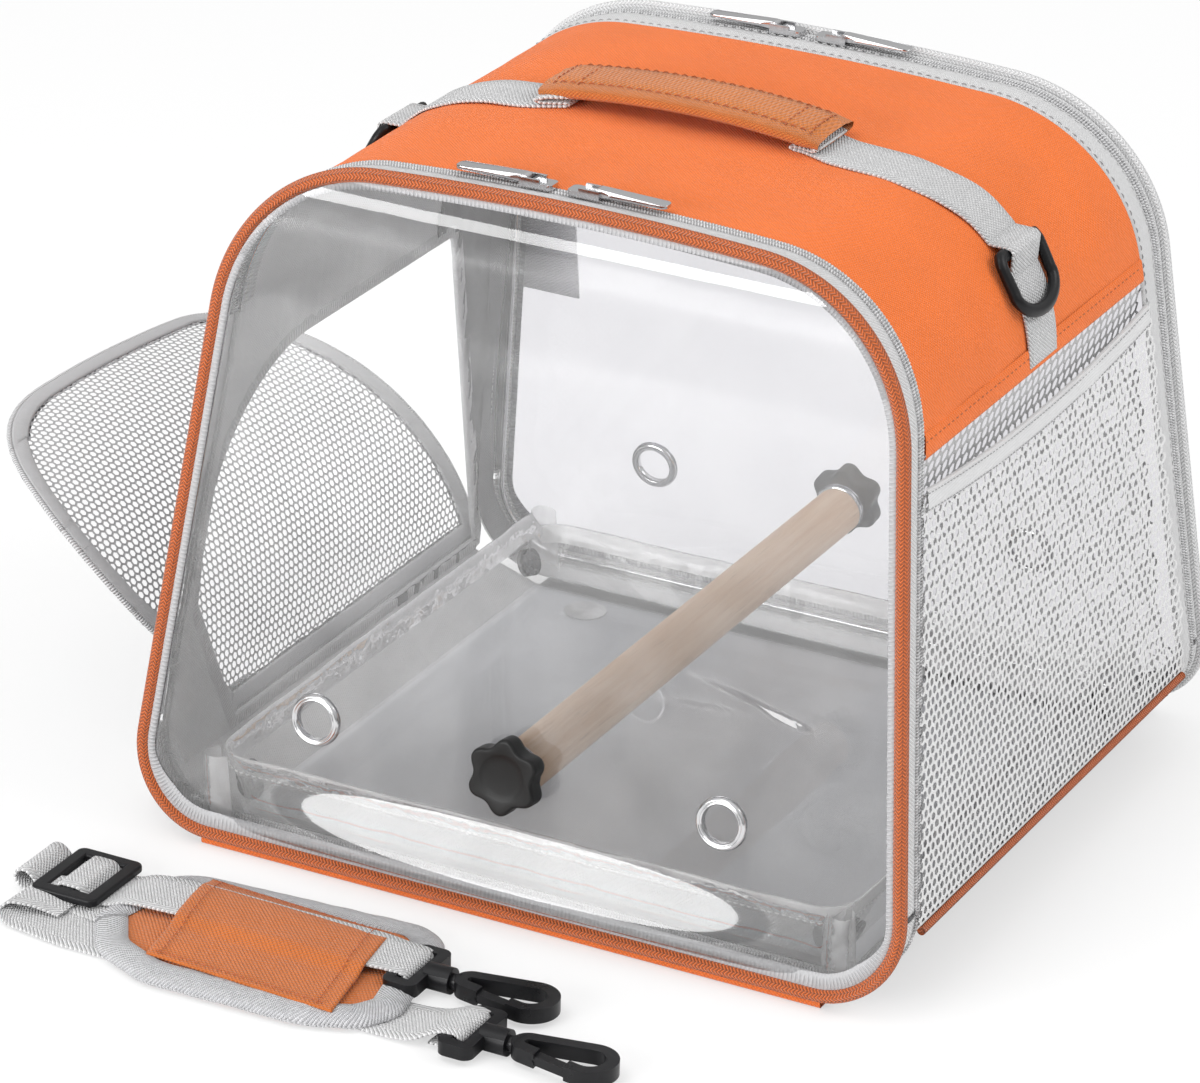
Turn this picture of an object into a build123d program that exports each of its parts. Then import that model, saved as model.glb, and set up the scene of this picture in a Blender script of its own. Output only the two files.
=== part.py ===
from build123d import *

import os
from math import cos, degrees, radians, sin, tan

# Soft-sided travel carrier for a small bird, in millimetres. X runs across the carrier, Y from
# the front window (-Y) to the back window (+Y), Z up. The origin is on the floor, midway
# between the two end frames.

os.makedirs("parts", exist_ok=True)

FRONT = -1
BACK = 1
LEFT = -1
RIGHT = 1

# End frames: the outline that the piping of each window follows
base_width = 365.0
frame_height = 300.0
frame_lift = 6.5
frame_spacing = 333.0
side_lean = radians(6.1)
end_lean = radians(7.86)
bottom_corner_r = 35.0
top_corner_r = 75.0
roof_crown = 8.0

# Fabrics, tapes and trim
fabric = 1.5
lining = 0.8
mesh_sheet = 1.2
layer_gap = 0.2
seam_height = 230.0
floor_half_width = 148.0
flap_height = 37.0
left_flap_height = 12.0
piping_r = 3.0
side_piping_r = 2.2
strip_half_length = 147.0
strip_sheet = 1.2
strip_tall = 3.1
tape = 1.0
coil = 2.2
coil_proud = 0.8
zip_gap = 0.4
zip_stop_height = 45.0
front_door_tape = 13.6
front_body_edge = 18.6
back_door_tape = 6.0
back_body_edge = 25.6
under_tape = 8.0

# Windows, eyelets and the wire hoops that keep the ends in shape
window_sheet = 0.8
window_seat_gap = 0.05
binding_width = 3.4
bottom_binding = 11.0
binding_sheet = 0.9
hoop_r = 1.2
hoop_set_in = 2.9
hoop_set_back = 4.6
eyelet_bore_r = 8.25
eyelet_barrel_r = 9.3
eyelet_flange_r = 11.6
eyelet_flange = 1.2
eyelet_seat_gap = 0.1
eyelet_spacing = 95.5

# Webbing tie on the outside of the back window
tie_from_side = 32.5
tie_width = 32.0
tie_long = 101.0
tie_from_top = 60.0
tie_sheet = 1.4
tie_gap = 0.3

# Perch and its clamp knobs
perch_height = 67.0
dowel_r = 11.0
dowel_end_gap = 0.3
insert_r = 7.0
insert_bore_r = 5.2
insert_length = 14.0
stud_r = 3.0
stud_bore_r = 3.06
stud_reach = 10.0
stud_grip = 9.0
stud_centred_at = 8.0
knob_r = 17.0
knob_core_r = 13.2
knob_lobe_r = 4.2
knob_lobes = 6
knob_foot_r = 9.5
knob_foot = 1.4
knob_height = 9.0
knob_cap_r = 8.0
knob_cap = 1.6
seat_gap = 0.1

# Floor board and clear tray
board_sheet = 4.0
board_width = 290.0
board_depth = 270.0
tray_width = 280.0
tray_depth = 282.0
tray_y = -2.0
tray_wall = 24.0
tray_flare = 22.0
tray_sheet = 1.0
tray_corner_r = 6.0
snap_r = 6.5
snap_cap = 1.8
snap_post_r = 2.0
snap_sheet = 1.2
snap_up = 12.0
snap_inset = 12.0
dot_r = 10.0
dot_sheet = 0.6
dot_x = 109.0
dot_y = 117.0

# Side pocket and the mesh wall behind it
pocket_top = 218.0
pocket_sheet = 1.0
pocket_slack = 9.0
pocket_slack_rise = 11.0
pocket_binding = 9.0
edge_sheet = 1.0

# Side door opening and the four strips that stand in for the curved mesh door
opening_front = -128.0
opening_rear = 78.0
opening_top = 196.5
opening_bottom = 18.0
opening_rear_slope = 0.34
opening_corner_r = 76.0
opening_rear_r = 6.0
opening_foot_front = -83.0
opening_foot_height = 92.0
door_overlap = 8.5
door_sheet = 1.6
door_clearance = 1.2
door_hinge_height = 14.5
door_seam_rise = 2.8
door_seam_half = 83.0
door_strips = 4
door_strip_gap = 0.9
door_first_bend = 17.3
door_next_bend = 22.8

# Zip sliders and their pulls
slider_long = 11.0
slider_wide = 8.0
slider_tall = 2.2
slider_gap = 0.25
slider_lug = 1.3
slider_pin_r = 0.9
pull_bore_r = 0.96
pull_knuckle_r = 1.9
pull_knuckle_at = 8.0
pull_knuckle_up = 2.9
pull_long = 28.0
pull_wide = 7.0
pull_sheet = 1.4
pull_side_gap = 0.2
pull_hole_long = 9.0
pull_hole_wide = 3.2
pull_hole_r = 1.5
pull_hole_in = 3.0
pull_corner_r = 2.5
slider_corner_r = 2.0
front_slider_mid = -10.0
back_slider_mid = -6.0
slider_apart = 18.0

# Carrying webbing, handle and rings
webbing_width = 30.0
webbing_sheet = 1.4
webbing_gap = 0.1
fold_in = 61.0
fold_out = 75.0
handle_half = 60.0
handle_width = 34.0
handle_sheet = 1.4
handle_rise = 9.1
handle_bow = 6.2
ring_bar_r = 2.6
ring_bore_r = 2.7
ring_width = 41.0
ring_drop = 29.0
ring_thick = 4.4
ring_band = 5.2
ring_corner_r = 9.0
ring_bar_drop = 28.5
ring_stand_off = 4.3
ring_hang = 61.0

# Shoulder strap, laid out on the floor in front of the carrier
strap_floor_gap = 0.35
strap_sheet = 1.3
strap_width = 30.0
strap_left = -187.0
low_run_y = -262.0
low_run_right = 30.9
upper_run_y = -228.0
upper_run_right = -13.6
upper_run_height = 3.2
pad_x = -71.0
pad_y = -243.0
pad_long = 150.0
pad_wide = 88.0
pad_end_r = 26.0
pad_height = 2.0
pad_sheet = 4.4
sleeve_long = 96.0
sleeve_x = -73.0
sleeve_y = -232.0
sleeve_wide = 70.0
sleeve_sheet = 0.8
sleeve_gap = 0.15
glide_x = -166.0
glide_long = 30.0
glide_wide = 40.0
glide_bar = 4.6
glide_corner_r = 3.0
glide_sheet = 3.0
hook_axis_height = 5.7
hook_base_wide = 35.0
hook_base_long = 15.0
hook_base_band = 4.4
hook_base_r = 4.0
hook_base_sheet = 5.0
hook_barrel_r = 5.2
hook_barrel_long = 9.0
hook_cavity = 2.5
hook_wall = 2.2
hook_post_r = 2.6
hook_bore_r = 2.68
hook_head_r = 3.9
hook_head_long = 2.2
hook_sheet = 5.0
hook_band = 4.2
hook_neck_r = 6.5
hook_neck_at = 9.0
hook_tip_r = 11.5
hook_tip_at = 36.5
gate_from = 15.0
gate_to = 31.0
gate_gap = 0.4
gate_tip_gap = 1.0
gate_sheet = 3.0
gate_pin_r = 0.9
gate_bore_r = 0.96
hook_post_bite = 1.5
hook_trim = 2.0
first_hook_x = 1.6
first_hook_y = -230.0
second_hook_x = 46.1
second_hook_y = -264.0
pad_notch = 2.0
pad_ramp = 3.5
pad_ramp_gap = 1.0

FOOT = (Align.CENTER, Align.CENTER, Align.MIN)

side_slope = tan(side_lean)
end_slope = tan(end_lean)
crown_half_width = base_width / 2 - (frame_height - roof_crown) * side_slope
crown_radius = (crown_half_width**2 + roof_crown**2) / (2 * roof_crown)
roof_top = frame_lift + frame_height
ring_bar_height = roof_top - ring_bar_drop
door_strip = (opening_top + door_overlap - door_hinge_height) / cos(side_lean) / door_strips
tie_x = base_width / 2 - tie_from_side
tie_top = frame_height - tie_from_top
perch_up = (perch_height - frame_lift + stud_centred_at * sin(end_lean)) / cos(end_lean)


def side_x(height):
    """Half width of the carrier's outer wall at a height above the floor."""
    return base_width / 2 - (height - frame_lift) * side_slope


def roof_z(x):
    """Height of the crowned roof's outer face beside the centre line."""
    return roof_top - crown_radius + (crown_radius**2 - x**2) ** 0.5


def end_plane(end, out=0.0):
    """Leaning plane of an end frame: local x across, y up the lean, z out of the carrier."""
    origin = Vector(0, end * frame_spacing / 2, frame_lift)
    normal = Vector(0, end * cos(end_lean), sin(end_lean))
    return Plane(origin=origin + normal * out, x_dir=(-end, 0, 0), z_dir=normal)


def frame_outline(inset=0.0, stretch=1.0):
    """Outline of an end frame from its bottom line up, set in all round."""
    rise = frame_height * stretch
    shoulder = rise - roof_crown * stretch
    with BuildSketch(mode=Mode.PRIVATE) as outline:
        with BuildLine():
            Polyline(
                (-crown_half_width, shoulder),
                (-base_width / 2, 0),
                (base_width / 2, 0),
                (crown_half_width, shoulder),
            )
            ThreePointArc((-crown_half_width, shoulder), (0, rise), (crown_half_width, shoulder))
        make_face()
        fillet(outline.vertices().group_by(Axis.Y)[0], bottom_corner_r)
        fillet(outline.vertices().group_by(Axis.Y)[-1], top_corner_r)
        if inset:
            offset(amount=-inset, mode=Mode.REPLACE)
    return outline.sketch


def body_outline(inset=0.0):
    """Section of the soft body: flat floor, sloping bottom flaps, leaning sides, crowned roof."""
    shoulder = roof_top - roof_crown
    with BuildSketch(mode=Mode.PRIVATE) as outline:
        with BuildLine():
            Polyline(
                (-crown_half_width, shoulder),
                (-side_x(left_flap_height), left_flap_height),
                (-floor_half_width, 0),
                (floor_half_width, 0),
                (side_x(flap_height), flap_height),
                (crown_half_width, shoulder),
            )
            ThreePointArc((-crown_half_width, shoulder), (0, roof_top), (crown_half_width, shoulder))
        make_face()
        fillet(outline.vertices().group_by(Axis.Y)[-1], top_corner_r)
        if inset:
            offset(amount=-inset, kind=Kind.INTERSECTION, mode=Mode.REPLACE)
    return outline.sketch


def body_wall(low, high, sides, inset, sheet, front_edge, back_edge):
    """Wall of the body between two heights, on the left (-1), the right (1) or both (0)."""
    with BuildPart(mode=Mode.PRIVATE) as wall:
        with BuildSketch(Plane.XZ):
            add(body_outline(inset))
            add(body_outline(inset + sheet), mode=Mode.SUBTRACT)
            with Locations((sides * base_width / 2, (low + high) / 2)):
                Rectangle(base_width * (2 - abs(sides)), high - low, mode=Mode.INTERSECT)
        extrude(amount=frame_spacing / 2, both=True)
        split(bisect_by=end_plane(FRONT, -front_edge), keep=Keep.BOTTOM)
        split(bisect_by=end_plane(BACK, -back_edge), keep=Keep.BOTTOM)
    return wall.part


def frame_band(end, outer, inner, out_high, out_low):
    """Band that follows the end frame's outline between two planes set back from the frame."""
    upright = Plane(origin=(0, 0, frame_lift), x_dir=(1, 0, 0), z_dir=(0, -1, 0))
    with BuildPart(mode=Mode.PRIVATE) as band:
        with BuildSketch(upright):
            add(frame_outline(outer))
            add(frame_outline(inner), mode=Mode.SUBTRACT)
        extrude(amount=frame_spacing / 2, both=True)
        split(bisect_by=end_plane(end, out_high), keep=Keep.BOTTOM)
        split(bisect_by=end_plane(end, out_low), keep=Keep.TOP)
    return band.part


def finish(builder, name):
    """Names a finished sub-part and writes it."""
    builder.part.label = name
    export_step(builder.part, f"parts/{name}.step")


# ---------------------------------------------------------------- soft body

with BuildPart() as roof_cover:
    add(body_wall(seam_height, 2 * roof_top, 0, 0, fabric, front_body_edge, back_body_edge))
finish(roof_cover, "roof_cover")

with BuildPart() as roof_lining:
    lining_inset = fabric + layer_gap
    lining_front = front_body_edge + under_tape + layer_gap
    lining_back = back_body_edge + under_tape + layer_gap
    add(body_wall(seam_height, 2 * roof_top, 0, lining_inset, lining, lining_front, lining_back))
finish(roof_lining, "roof_lining")

with BuildPart() as bottom_panel:
    low = -fabric
    add(body_wall(low, left_flap_height, LEFT, 0, fabric, front_body_edge, back_body_edge))
    add(body_wall(low, flap_height, RIGHT, 0, fabric, front_body_edge, back_body_edge))
finish(bottom_panel, "bottom_panel")

# The mesh wall hangs slack behind the pocket, which leaves the pocket its depth
slack_line = [
    (seam_height, 0),
    (seam_height - pocket_slack_rise, pocket_slack),
    (flap_height + pocket_slack_rise, pocket_slack),
    (flap_height, 0),
]
with BuildPart() as right_mesh_panel:
    with BuildSketch(Plane.XZ):
        with BuildLine():
            outer = [(side_x(z) - slack, z) for z, slack in slack_line]
            inner = [(x - mesh_sheet, z) for x, z in reversed(outer)]
            Polyline(*outer, *inner, close=True)
        make_face()
    extrude(amount=frame_spacing / 2, both=True)
    split(bisect_by=end_plane(FRONT, -front_body_edge), keep=Keep.BOTTOM)
    split(bisect_by=end_plane(BACK, -back_body_edge), keep=Keep.BOTTOM)
finish(right_mesh_panel, "right_mesh_panel")


def pocket_skin(low, high, near, far):
    """Sheet that lies outside the right wall, from one distance off it to another."""
    with BuildPart(mode=Mode.PRIVATE) as skin:
        with BuildSketch(Plane.XZ):
            with BuildLine():
                Polyline(
                    (side_x(low) + near, low),
                    (side_x(low) + far, low),
                    (side_x(high) + far, high),
                    (side_x(high) + near, high),
                    close=True,
                )
            make_face()
        extrude(amount=frame_spacing / 2, both=True)
        split(bisect_by=end_plane(FRONT, -front_body_edge), keep=Keep.BOTTOM)
        split(bisect_by=end_plane(BACK, -back_body_edge), keep=Keep.BOTTOM)
    return skin.part


with BuildPart() as side_pocket:
    add(pocket_skin(flap_height, pocket_top, 0, pocket_sheet))
    for end, edge in ((FRONT, front_body_edge), (BACK, back_body_edge)):
        with BuildPart(mode=Mode.PRIVATE) as gusset:
            with BuildSketch(Plane.XZ):
                with BuildLine():
                    rim = [(pocket_top, 0), (pocket_top, pocket_slack)]
                    Polyline(*[(side_x(z) - slack, z) for z, slack in rim + slack_line[2:]], close=True)
                make_face()
            extrude(amount=frame_spacing / 2, both=True)
            split(bisect_by=end_plane(end, -edge), keep=Keep.BOTTOM)
            split(bisect_by=end_plane(end, -edge - pocket_sheet), keep=Keep.TOP)
        add(gusset.part)
finish(side_pocket, "side_pocket")


def opening_face(margin=0.0):
    """Side door opening seen from outside, local x towards the front and y up from the floor."""
    top = opening_top + margin
    rear_top = opening_rear + margin / 2
    rear_foot = rear_top + (top - opening_bottom) * opening_rear_slope
    with BuildSketch(mode=Mode.PRIVATE) as opening:
        with BuildLine():
            Polyline(
                (-rear_foot, opening_bottom),
                (-opening_foot_front, opening_bottom),
                (-opening_front + margin, opening_foot_height),
                (-opening_front + margin, top),
                (-rear_top, top),
                close=True,
            )
        make_face()
        corners = opening.vertices().group_by(Axis.Y)[-1].sort_by(Axis.X)
        fillet(corners[-1], opening_corner_r)
        fillet(opening.vertices().group_by(Axis.Y)[-1].sort_by(Axis.X)[0], opening_rear_r)
    return opening.sketch


left_view = Plane(origin=(-base_width, 0, 0), x_dir=(0, -1, 0), z_dir=(-1, 0, 0))

with BuildPart() as left_side_panel:
    low = left_flap_height
    add(body_wall(low, seam_height, LEFT, 0, fabric, front_body_edge, back_body_edge))
    with BuildSketch(left_view):
        add(opening_face())
    extrude(amount=-base_width, mode=Mode.SUBTRACT)
    with BuildSketch(Plane.XZ):
        with BuildLine():
            seam_low = left_flap_height
            seam_high = door_hinge_height + door_seam_rise
            seam_out = door_clearance + door_sheet
            Polyline(
                (-side_x(seam_low), seam_low),
                (-side_x(seam_low) - seam_out, seam_low),
                (-side_x(seam_high) - seam_out, seam_high),
                (-side_x(seam_high), seam_high),
                close=True,
            )
        make_face()
    extrude(amount=door_seam_half, both=True)
finish(left_side_panel, "left_side_panel")

with BuildPart() as edge_bindings:
    binding_front = front_body_edge + under_tape + layer_gap
    binding_back = back_body_edge + under_tape + layer_gap
    low = left_flap_height + fabric
    add(body_wall(low, seam_height, LEFT, fabric, edge_sheet, binding_front, binding_back))
    with BuildSketch(left_view):
        add(opening_face(pocket_binding))
    extrude(amount=-base_width, mode=Mode.INTERSECT)
    with BuildSketch(left_view):
        add(opening_face())
    extrude(amount=-base_width, mode=Mode.SUBTRACT)
    add(pocket_skin(pocket_top - pocket_binding, pocket_top, pocket_sheet, pocket_sheet + edge_sheet))
finish(edge_bindings, "edge_bindings")

with BuildPart() as side_pipings:
    left_x = -side_x(left_flap_height) - side_piping_r / 2
    right_x = side_x(flap_height) + side_piping_r / 2
    drop = side_piping_r + layer_gap
    with BuildSketch(Plane.XZ):
        with Locations((left_x, left_flap_height - drop), (right_x, flap_height - drop)):
            Circle(side_piping_r)
    extrude(amount=frame_spacing / 2, both=True)
    split(bisect_by=end_plane(FRONT, -front_body_edge), keep=Keep.BOTTOM)
    split(bisect_by=end_plane(BACK, -back_body_edge), keep=Keep.BOTTOM)
finish(side_pipings, "side_pipings")

# ---------------------------------------------------------------- zip tapes on the body

edges = {FRONT: (front_door_tape, front_body_edge), BACK: (back_door_tape, back_body_edge)}

with BuildPart() as body_zip_tapes:
    for end in (FRONT, BACK):
        door_edge, body_edge = edges[end]
        coil_low = door_edge + coil + zip_gap
        coil_high = coil_low + coil
        tape_bottom = fabric + layer_gap
        add(frame_band(end, -coil_proud, tape_bottom + tape, -coil_low, -coil_high))
        if body_edge > coil_high:
            add(frame_band(end, 0, tape_bottom + tape, -coil_high, -body_edge))
        with BuildPart(mode=Mode.PRIVATE) as under:
            add(frame_band(end, tape_bottom, tape_bottom + tape, -coil_high, -body_edge - under_tape))
            split(bisect_by=Plane.XY.offset(seam_height + tape), keep=Keep.TOP)
        add(under.part)
        corner = frame_band(end, 0, tape, -piping_r - zip_gap, -coil_low)
        with BuildPart(mode=Mode.PRIVATE) as corners:
            add(corner)
            split(bisect_by=Plane.XY.offset(zip_stop_height), keep=Keep.BOTTOM)
            Box(2 * strip_half_length, 2 * frame_spacing, 2 * frame_lift + 2 * tape, mode=Mode.SUBTRACT)
        add(corners.part)
    split(bisect_by=Plane.XY, keep=Keep.TOP)
finish(body_zip_tapes, "body_zip_tapes")

# ---------------------------------------------------------------- leaning end frames

stretch = 1 / cos(end_lean)
strip_bottom = 0.2


def piping_ring(end):
    """Round piping that follows the end frame all the way round."""
    rim = end_plane(end) * frame_outline(0, stretch)
    path = rim.face().outer_wire()
    start = Plane(origin=path @ 0, z_dir=path % 0)
    with BuildPart(mode=Mode.PRIVATE) as ring:
        with BuildSketch(start):
            Circle(piping_r)
        sweep(path=path)
    return ring.part


def hoop_ring(end):
    """Spring wire hoop inside the end frame."""
    rim = end_plane(end, -hoop_set_back) * frame_outline(hoop_set_in, stretch)
    path = rim.face().outer_wire()
    start = Plane(origin=path @ 0, z_dir=path % 0)
    with BuildPart(mode=Mode.PRIVATE) as ring:
        with BuildSketch(start):
            Circle(hoop_r)
        sweep(path=path)
    return ring.part


def door_tape(end, door_edge):
    """Zip tape and its half of the coil, round the sides and top of an end frame."""
    with BuildPart(mode=Mode.PRIVATE) as band:
        add(frame_band(end, 0, tape, -piping_r - webbing_gap, -door_edge))
        add(frame_band(end, -coil_proud, tape, -door_edge, -door_edge - coil))
        split(bisect_by=Plane.XY.offset(zip_stop_height + zip_gap), keep=Keep.TOP)
    return band.part


def window_pane(end):
    """Clear window with a hole for each eyelet."""
    with BuildPart(mode=Mode.PRIVATE) as pane:
        with BuildSketch(end_plane(end, -window_sheet / 2)):
            add(frame_outline(piping_r + window_seat_gap, stretch))
            with Locations((-eyelet_spacing, perch_up), (0, perch_up), (eyelet_spacing, perch_up)):
                Circle(eyelet_barrel_r + window_seat_gap, mode=Mode.SUBTRACT)
        extrude(amount=window_sheet)
    return pane.part


def window_edge(end):
    """Binding on the outside of a window, wider along the bottom."""
    face = window_sheet / 2 + window_seat_gap
    inner = piping_r + window_seat_gap + binding_width
    with BuildPart(mode=Mode.PRIVATE) as edge:
        with BuildSketch(end_plane(end, face)):
            add(frame_outline(piping_r + window_seat_gap, stretch))
            add(frame_outline(inner, stretch), mode=Mode.SUBTRACT)
            with BuildSketch(mode=Mode.PRIVATE) as foot:
                add(frame_outline(piping_r + window_seat_gap, stretch))
                with Locations((0, piping_r)):
                    Rectangle(base_width, 2 * bottom_binding, mode=Mode.INTERSECT)
            add(foot.sketch)
        extrude(amount=binding_sheet)
    return edge.part


def eyelet_rings(end):
    """Three eyelets, each a barrel through the window with a flange on both faces."""
    face = window_sheet / 2 + eyelet_seat_gap
    spots = [(-eyelet_spacing, perch_up), (0, perch_up), (eyelet_spacing, perch_up)]
    with BuildPart(mode=Mode.PRIVATE) as rings:
        with BuildSketch(end_plane(end, -face - eyelet_flange)):
            with Locations(*spots):
                Circle(eyelet_barrel_r)
        extrude(amount=2 * (face + eyelet_flange))
        for low in (face, -face - eyelet_flange):
            with BuildSketch(end_plane(end, low)):
                with Locations(*spots):
                    Circle(eyelet_flange_r)
            extrude(amount=eyelet_flange)
        with BuildSketch(end_plane(end, -face - eyelet_flange)):
            with Locations(*spots):
                Circle(eyelet_bore_r)
        extrude(amount=2 * (face + eyelet_flange), mode=Mode.SUBTRACT)
    return rings.part


def knob_shape(end):
    """Six-lobed hand knob with a round foot, a low cap and a blind bore for its stud."""
    foot_face = window_sheet / 2 + eyelet_seat_gap + eyelet_flange + seat_gap
    body_face = foot_face + knob_foot
    with BuildPart(mode=Mode.PRIVATE) as knob:
        with BuildSketch(end_plane(end, body_face)):
            with Locations((0, perch_up)):
                Circle(knob_core_r)
                with PolarLocations(knob_r - knob_lobe_r, knob_lobes, 90):
                    Circle(knob_lobe_r)
        extrude(amount=knob_height)
        with BuildSketch(end_plane(end, foot_face)):
            with Locations((0, perch_up)):
                Circle(knob_foot_r)
        extrude(amount=knob_foot)
        with BuildSketch(end_plane(end, body_face + knob_height)):
            with Locations((0, perch_up)):
                Circle(knob_cap_r)
        extrude(amount=knob_cap, taper=20)
        with BuildSketch(end_plane(end, foot_face)):
            with Locations((0, perch_up)):
                Circle(stud_bore_r)
        extrude(amount=stud_grip, mode=Mode.SUBTRACT)
    return knob.part


def stud_shape(end):
    """Threaded stud, plain here, from inside the knob to inside the perch."""
    foot_face = window_sheet / 2 + eyelet_seat_gap + eyelet_flange + seat_gap
    with BuildPart(mode=Mode.PRIVATE) as stud:
        with BuildSketch(end_plane(end, -stud_reach)):
            with Locations((0, perch_up)):
                Circle(stud_r)
        extrude(amount=stud_reach + foot_face + stud_grip - seat_gap)
    return stud.part


with BuildPart() as front_window:
    add(window_pane(FRONT))
finish(front_window, "front_window")

with BuildPart() as back_window:
    add(window_pane(BACK))
finish(back_window, "back_window")

with BuildPart() as front_window_binding:
    add(window_edge(FRONT))
finish(front_window_binding, "front_window_binding")

with BuildPart() as back_window_binding:
    add(window_edge(BACK))
finish(back_window_binding, "back_window_binding")

with BuildPart() as front_piping:
    add(piping_ring(FRONT))
finish(front_piping, "front_piping")

with BuildPart() as back_piping:
    add(piping_ring(BACK))
finish(back_piping, "back_piping")

with BuildPart() as front_hoop:
    add(hoop_ring(FRONT))
finish(front_hoop, "front_hoop")

with BuildPart() as back_hoop:
    add(hoop_ring(BACK))
finish(back_hoop, "back_hoop")

with BuildPart() as front_door_tape_part:
    add(door_tape(FRONT, front_door_tape))
finish(front_door_tape_part, "front_door_tape")

with BuildPart() as back_door_tape_part:
    add(door_tape(BACK, back_door_tape))
finish(back_door_tape_part, "back_door_tape")

with BuildPart() as front_eyelets:
    add(eyelet_rings(FRONT))
finish(front_eyelets, "front_eyelets")

with BuildPart() as back_eyelets:
    add(eyelet_rings(BACK))
finish(back_eyelets, "back_eyelets")

with BuildPart() as front_knob:
    add(knob_shape(FRONT))
finish(front_knob, "front_knob")

with BuildPart() as back_knob:
    add(knob_shape(BACK))
finish(back_knob, "back_knob")

with BuildPart() as front_stud:
    add(stud_shape(FRONT))
finish(front_stud, "front_stud")

with BuildPart() as back_stud:
    add(stud_shape(BACK))
finish(back_stud, "back_stud")

with BuildPart() as window_tie_strap:
    with BuildSketch(end_plane(BACK, piping_r + tie_gap)):
        with Locations((tie_x, (tie_top - tie_long / 2) * stretch)):
            Rectangle(tie_width, tie_long * stretch)
        add(frame_outline(-piping_r, stretch), mode=Mode.INTERSECT)
    extrude(amount=tie_sheet)
finish(window_tie_strap, "window_tie_strap")

# Orange strips under the bottom piping, the hinges of the two windows
with BuildPart() as hinge_strips:
    for end, edge in ((FRONT, front_body_edge), (BACK, back_body_edge)):
        with BuildPart(mode=Mode.PRIVATE) as strip:
            with Locations((0, end * (frame_spacing / 2 - front_body_edge), strip_bottom)):
                Box(2 * strip_half_length, 2 * front_body_edge, strip_sheet, align=FOOT)
            split(bisect_by=end_plane(end, -edge + webbing_gap), keep=Keep.TOP)
            with Locations((0, end * (frame_spacing / 2 - strip_sheet / 2), strip_bottom)):
                Box(2 * strip_half_length, strip_sheet, strip_tall, align=FOOT)
        add(strip.part)
finish(hinge_strips, "hinge_strips")

# ---------------------------------------------------------------- perch, floor and tray

flange_back = window_sheet / 2 + eyelet_seat_gap + eyelet_flange

with BuildPart() as perch_dowel:
    with BuildSketch(Plane.XZ):
        with Locations((0, perch_height)):
            Circle(dowel_r)
    extrude(amount=frame_spacing / 2, both=True)
    split(bisect_by=end_plane(FRONT, -flange_back - dowel_end_gap), keep=Keep.BOTTOM)
    split(bisect_by=end_plane(BACK, -flange_back - dowel_end_gap), keep=Keep.BOTTOM)
    for end in (FRONT, BACK):
        with BuildPart(mode=Mode.PRIVATE) as socket:
            with BuildSketch(Plane.XZ):
                with Locations((0, perch_height)):
                    Circle(insert_r + webbing_gap / 2)
            extrude(amount=frame_spacing / 2, both=True)
            split(bisect_by=end_plane(end, -flange_back - insert_length - 1), keep=Keep.TOP)
        add(socket.part, mode=Mode.SUBTRACT)
finish(perch_dowel, "perch_dowel")

with BuildPart() as perch_inserts:
    for end in (FRONT, BACK):
        with BuildPart(mode=Mode.PRIVATE) as insert:
            with BuildSketch(Plane.XZ):
                with Locations((0, perch_height)):
                    Circle(insert_r)
                    Circle(insert_bore_r, mode=Mode.SUBTRACT)
            extrude(amount=frame_spacing / 2, both=True)
            split(bisect_by=end_plane(end, -flange_back - dowel_end_gap), keep=Keep.BOTTOM)
            split(bisect_by=end_plane(end, -flange_back - insert_length), keep=Keep.TOP)
        add(insert.part)
finish(perch_inserts, "perch_inserts")

board_bottom = fabric + layer_gap
dot_bottom = board_bottom + board_sheet + webbing_gap
tray_bottom = dot_bottom + dot_sheet + webbing_gap

with BuildPart() as base_board:
    with BuildSketch(Plane.XY.offset(board_bottom)):
        RectangleRounded(board_width, board_depth, tray_corner_r)
    extrude(amount=board_sheet)
finish(base_board, "base_board")

with BuildPart() as board_dots:
    with BuildSketch(Plane.XY.offset(dot_bottom)):
        with GridLocations(2 * dot_x, 2 * dot_y, 2, 2):
            Circle(dot_r)
    extrude(amount=dot_sheet)
finish(board_dots, "board_dots")

snap_x = tray_width / 2 + snap_up * tan(radians(tray_flare))
snap_y = tray_depth / 2 - snap_inset


def snap_plane(side, end, out):
    """Plane on the tray's flared side wall at a snap, normal pointing out of the tray."""
    normal = Vector(side * cos(radians(tray_flare)), 0, -sin(radians(tray_flare)))
    origin = Vector(side * snap_x, tray_y + end * snap_y, tray_bottom + snap_up)
    return Plane(origin=origin + normal * out, x_dir=(0, 1, 0), z_dir=normal)


with BuildPart() as clear_tray:
    with BuildSketch(Plane.XY.offset(tray_bottom)):
        with Locations((0, tray_y)):
            RectangleRounded(tray_width, tray_depth, tray_corner_r)
    extrude(amount=tray_wall, taper=-tray_flare)
    with BuildSketch(Plane.XY.offset(tray_bottom + tray_sheet)):
        with Locations((0, tray_y)):
            RectangleRounded(tray_width - tray_sheet, tray_depth - tray_sheet, tray_corner_r)
    extrude(amount=tray_wall, taper=-tray_flare, mode=Mode.SUBTRACT)
    for side in (LEFT, RIGHT):
        for end in (FRONT, BACK):
            with BuildSketch(snap_plane(side, end, -4 * tray_sheet)):
                Circle(snap_post_r + window_seat_gap)
            extrude(amount=8 * tray_sheet, mode=Mode.SUBTRACT)
finish(clear_tray, "clear_tray")

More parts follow.
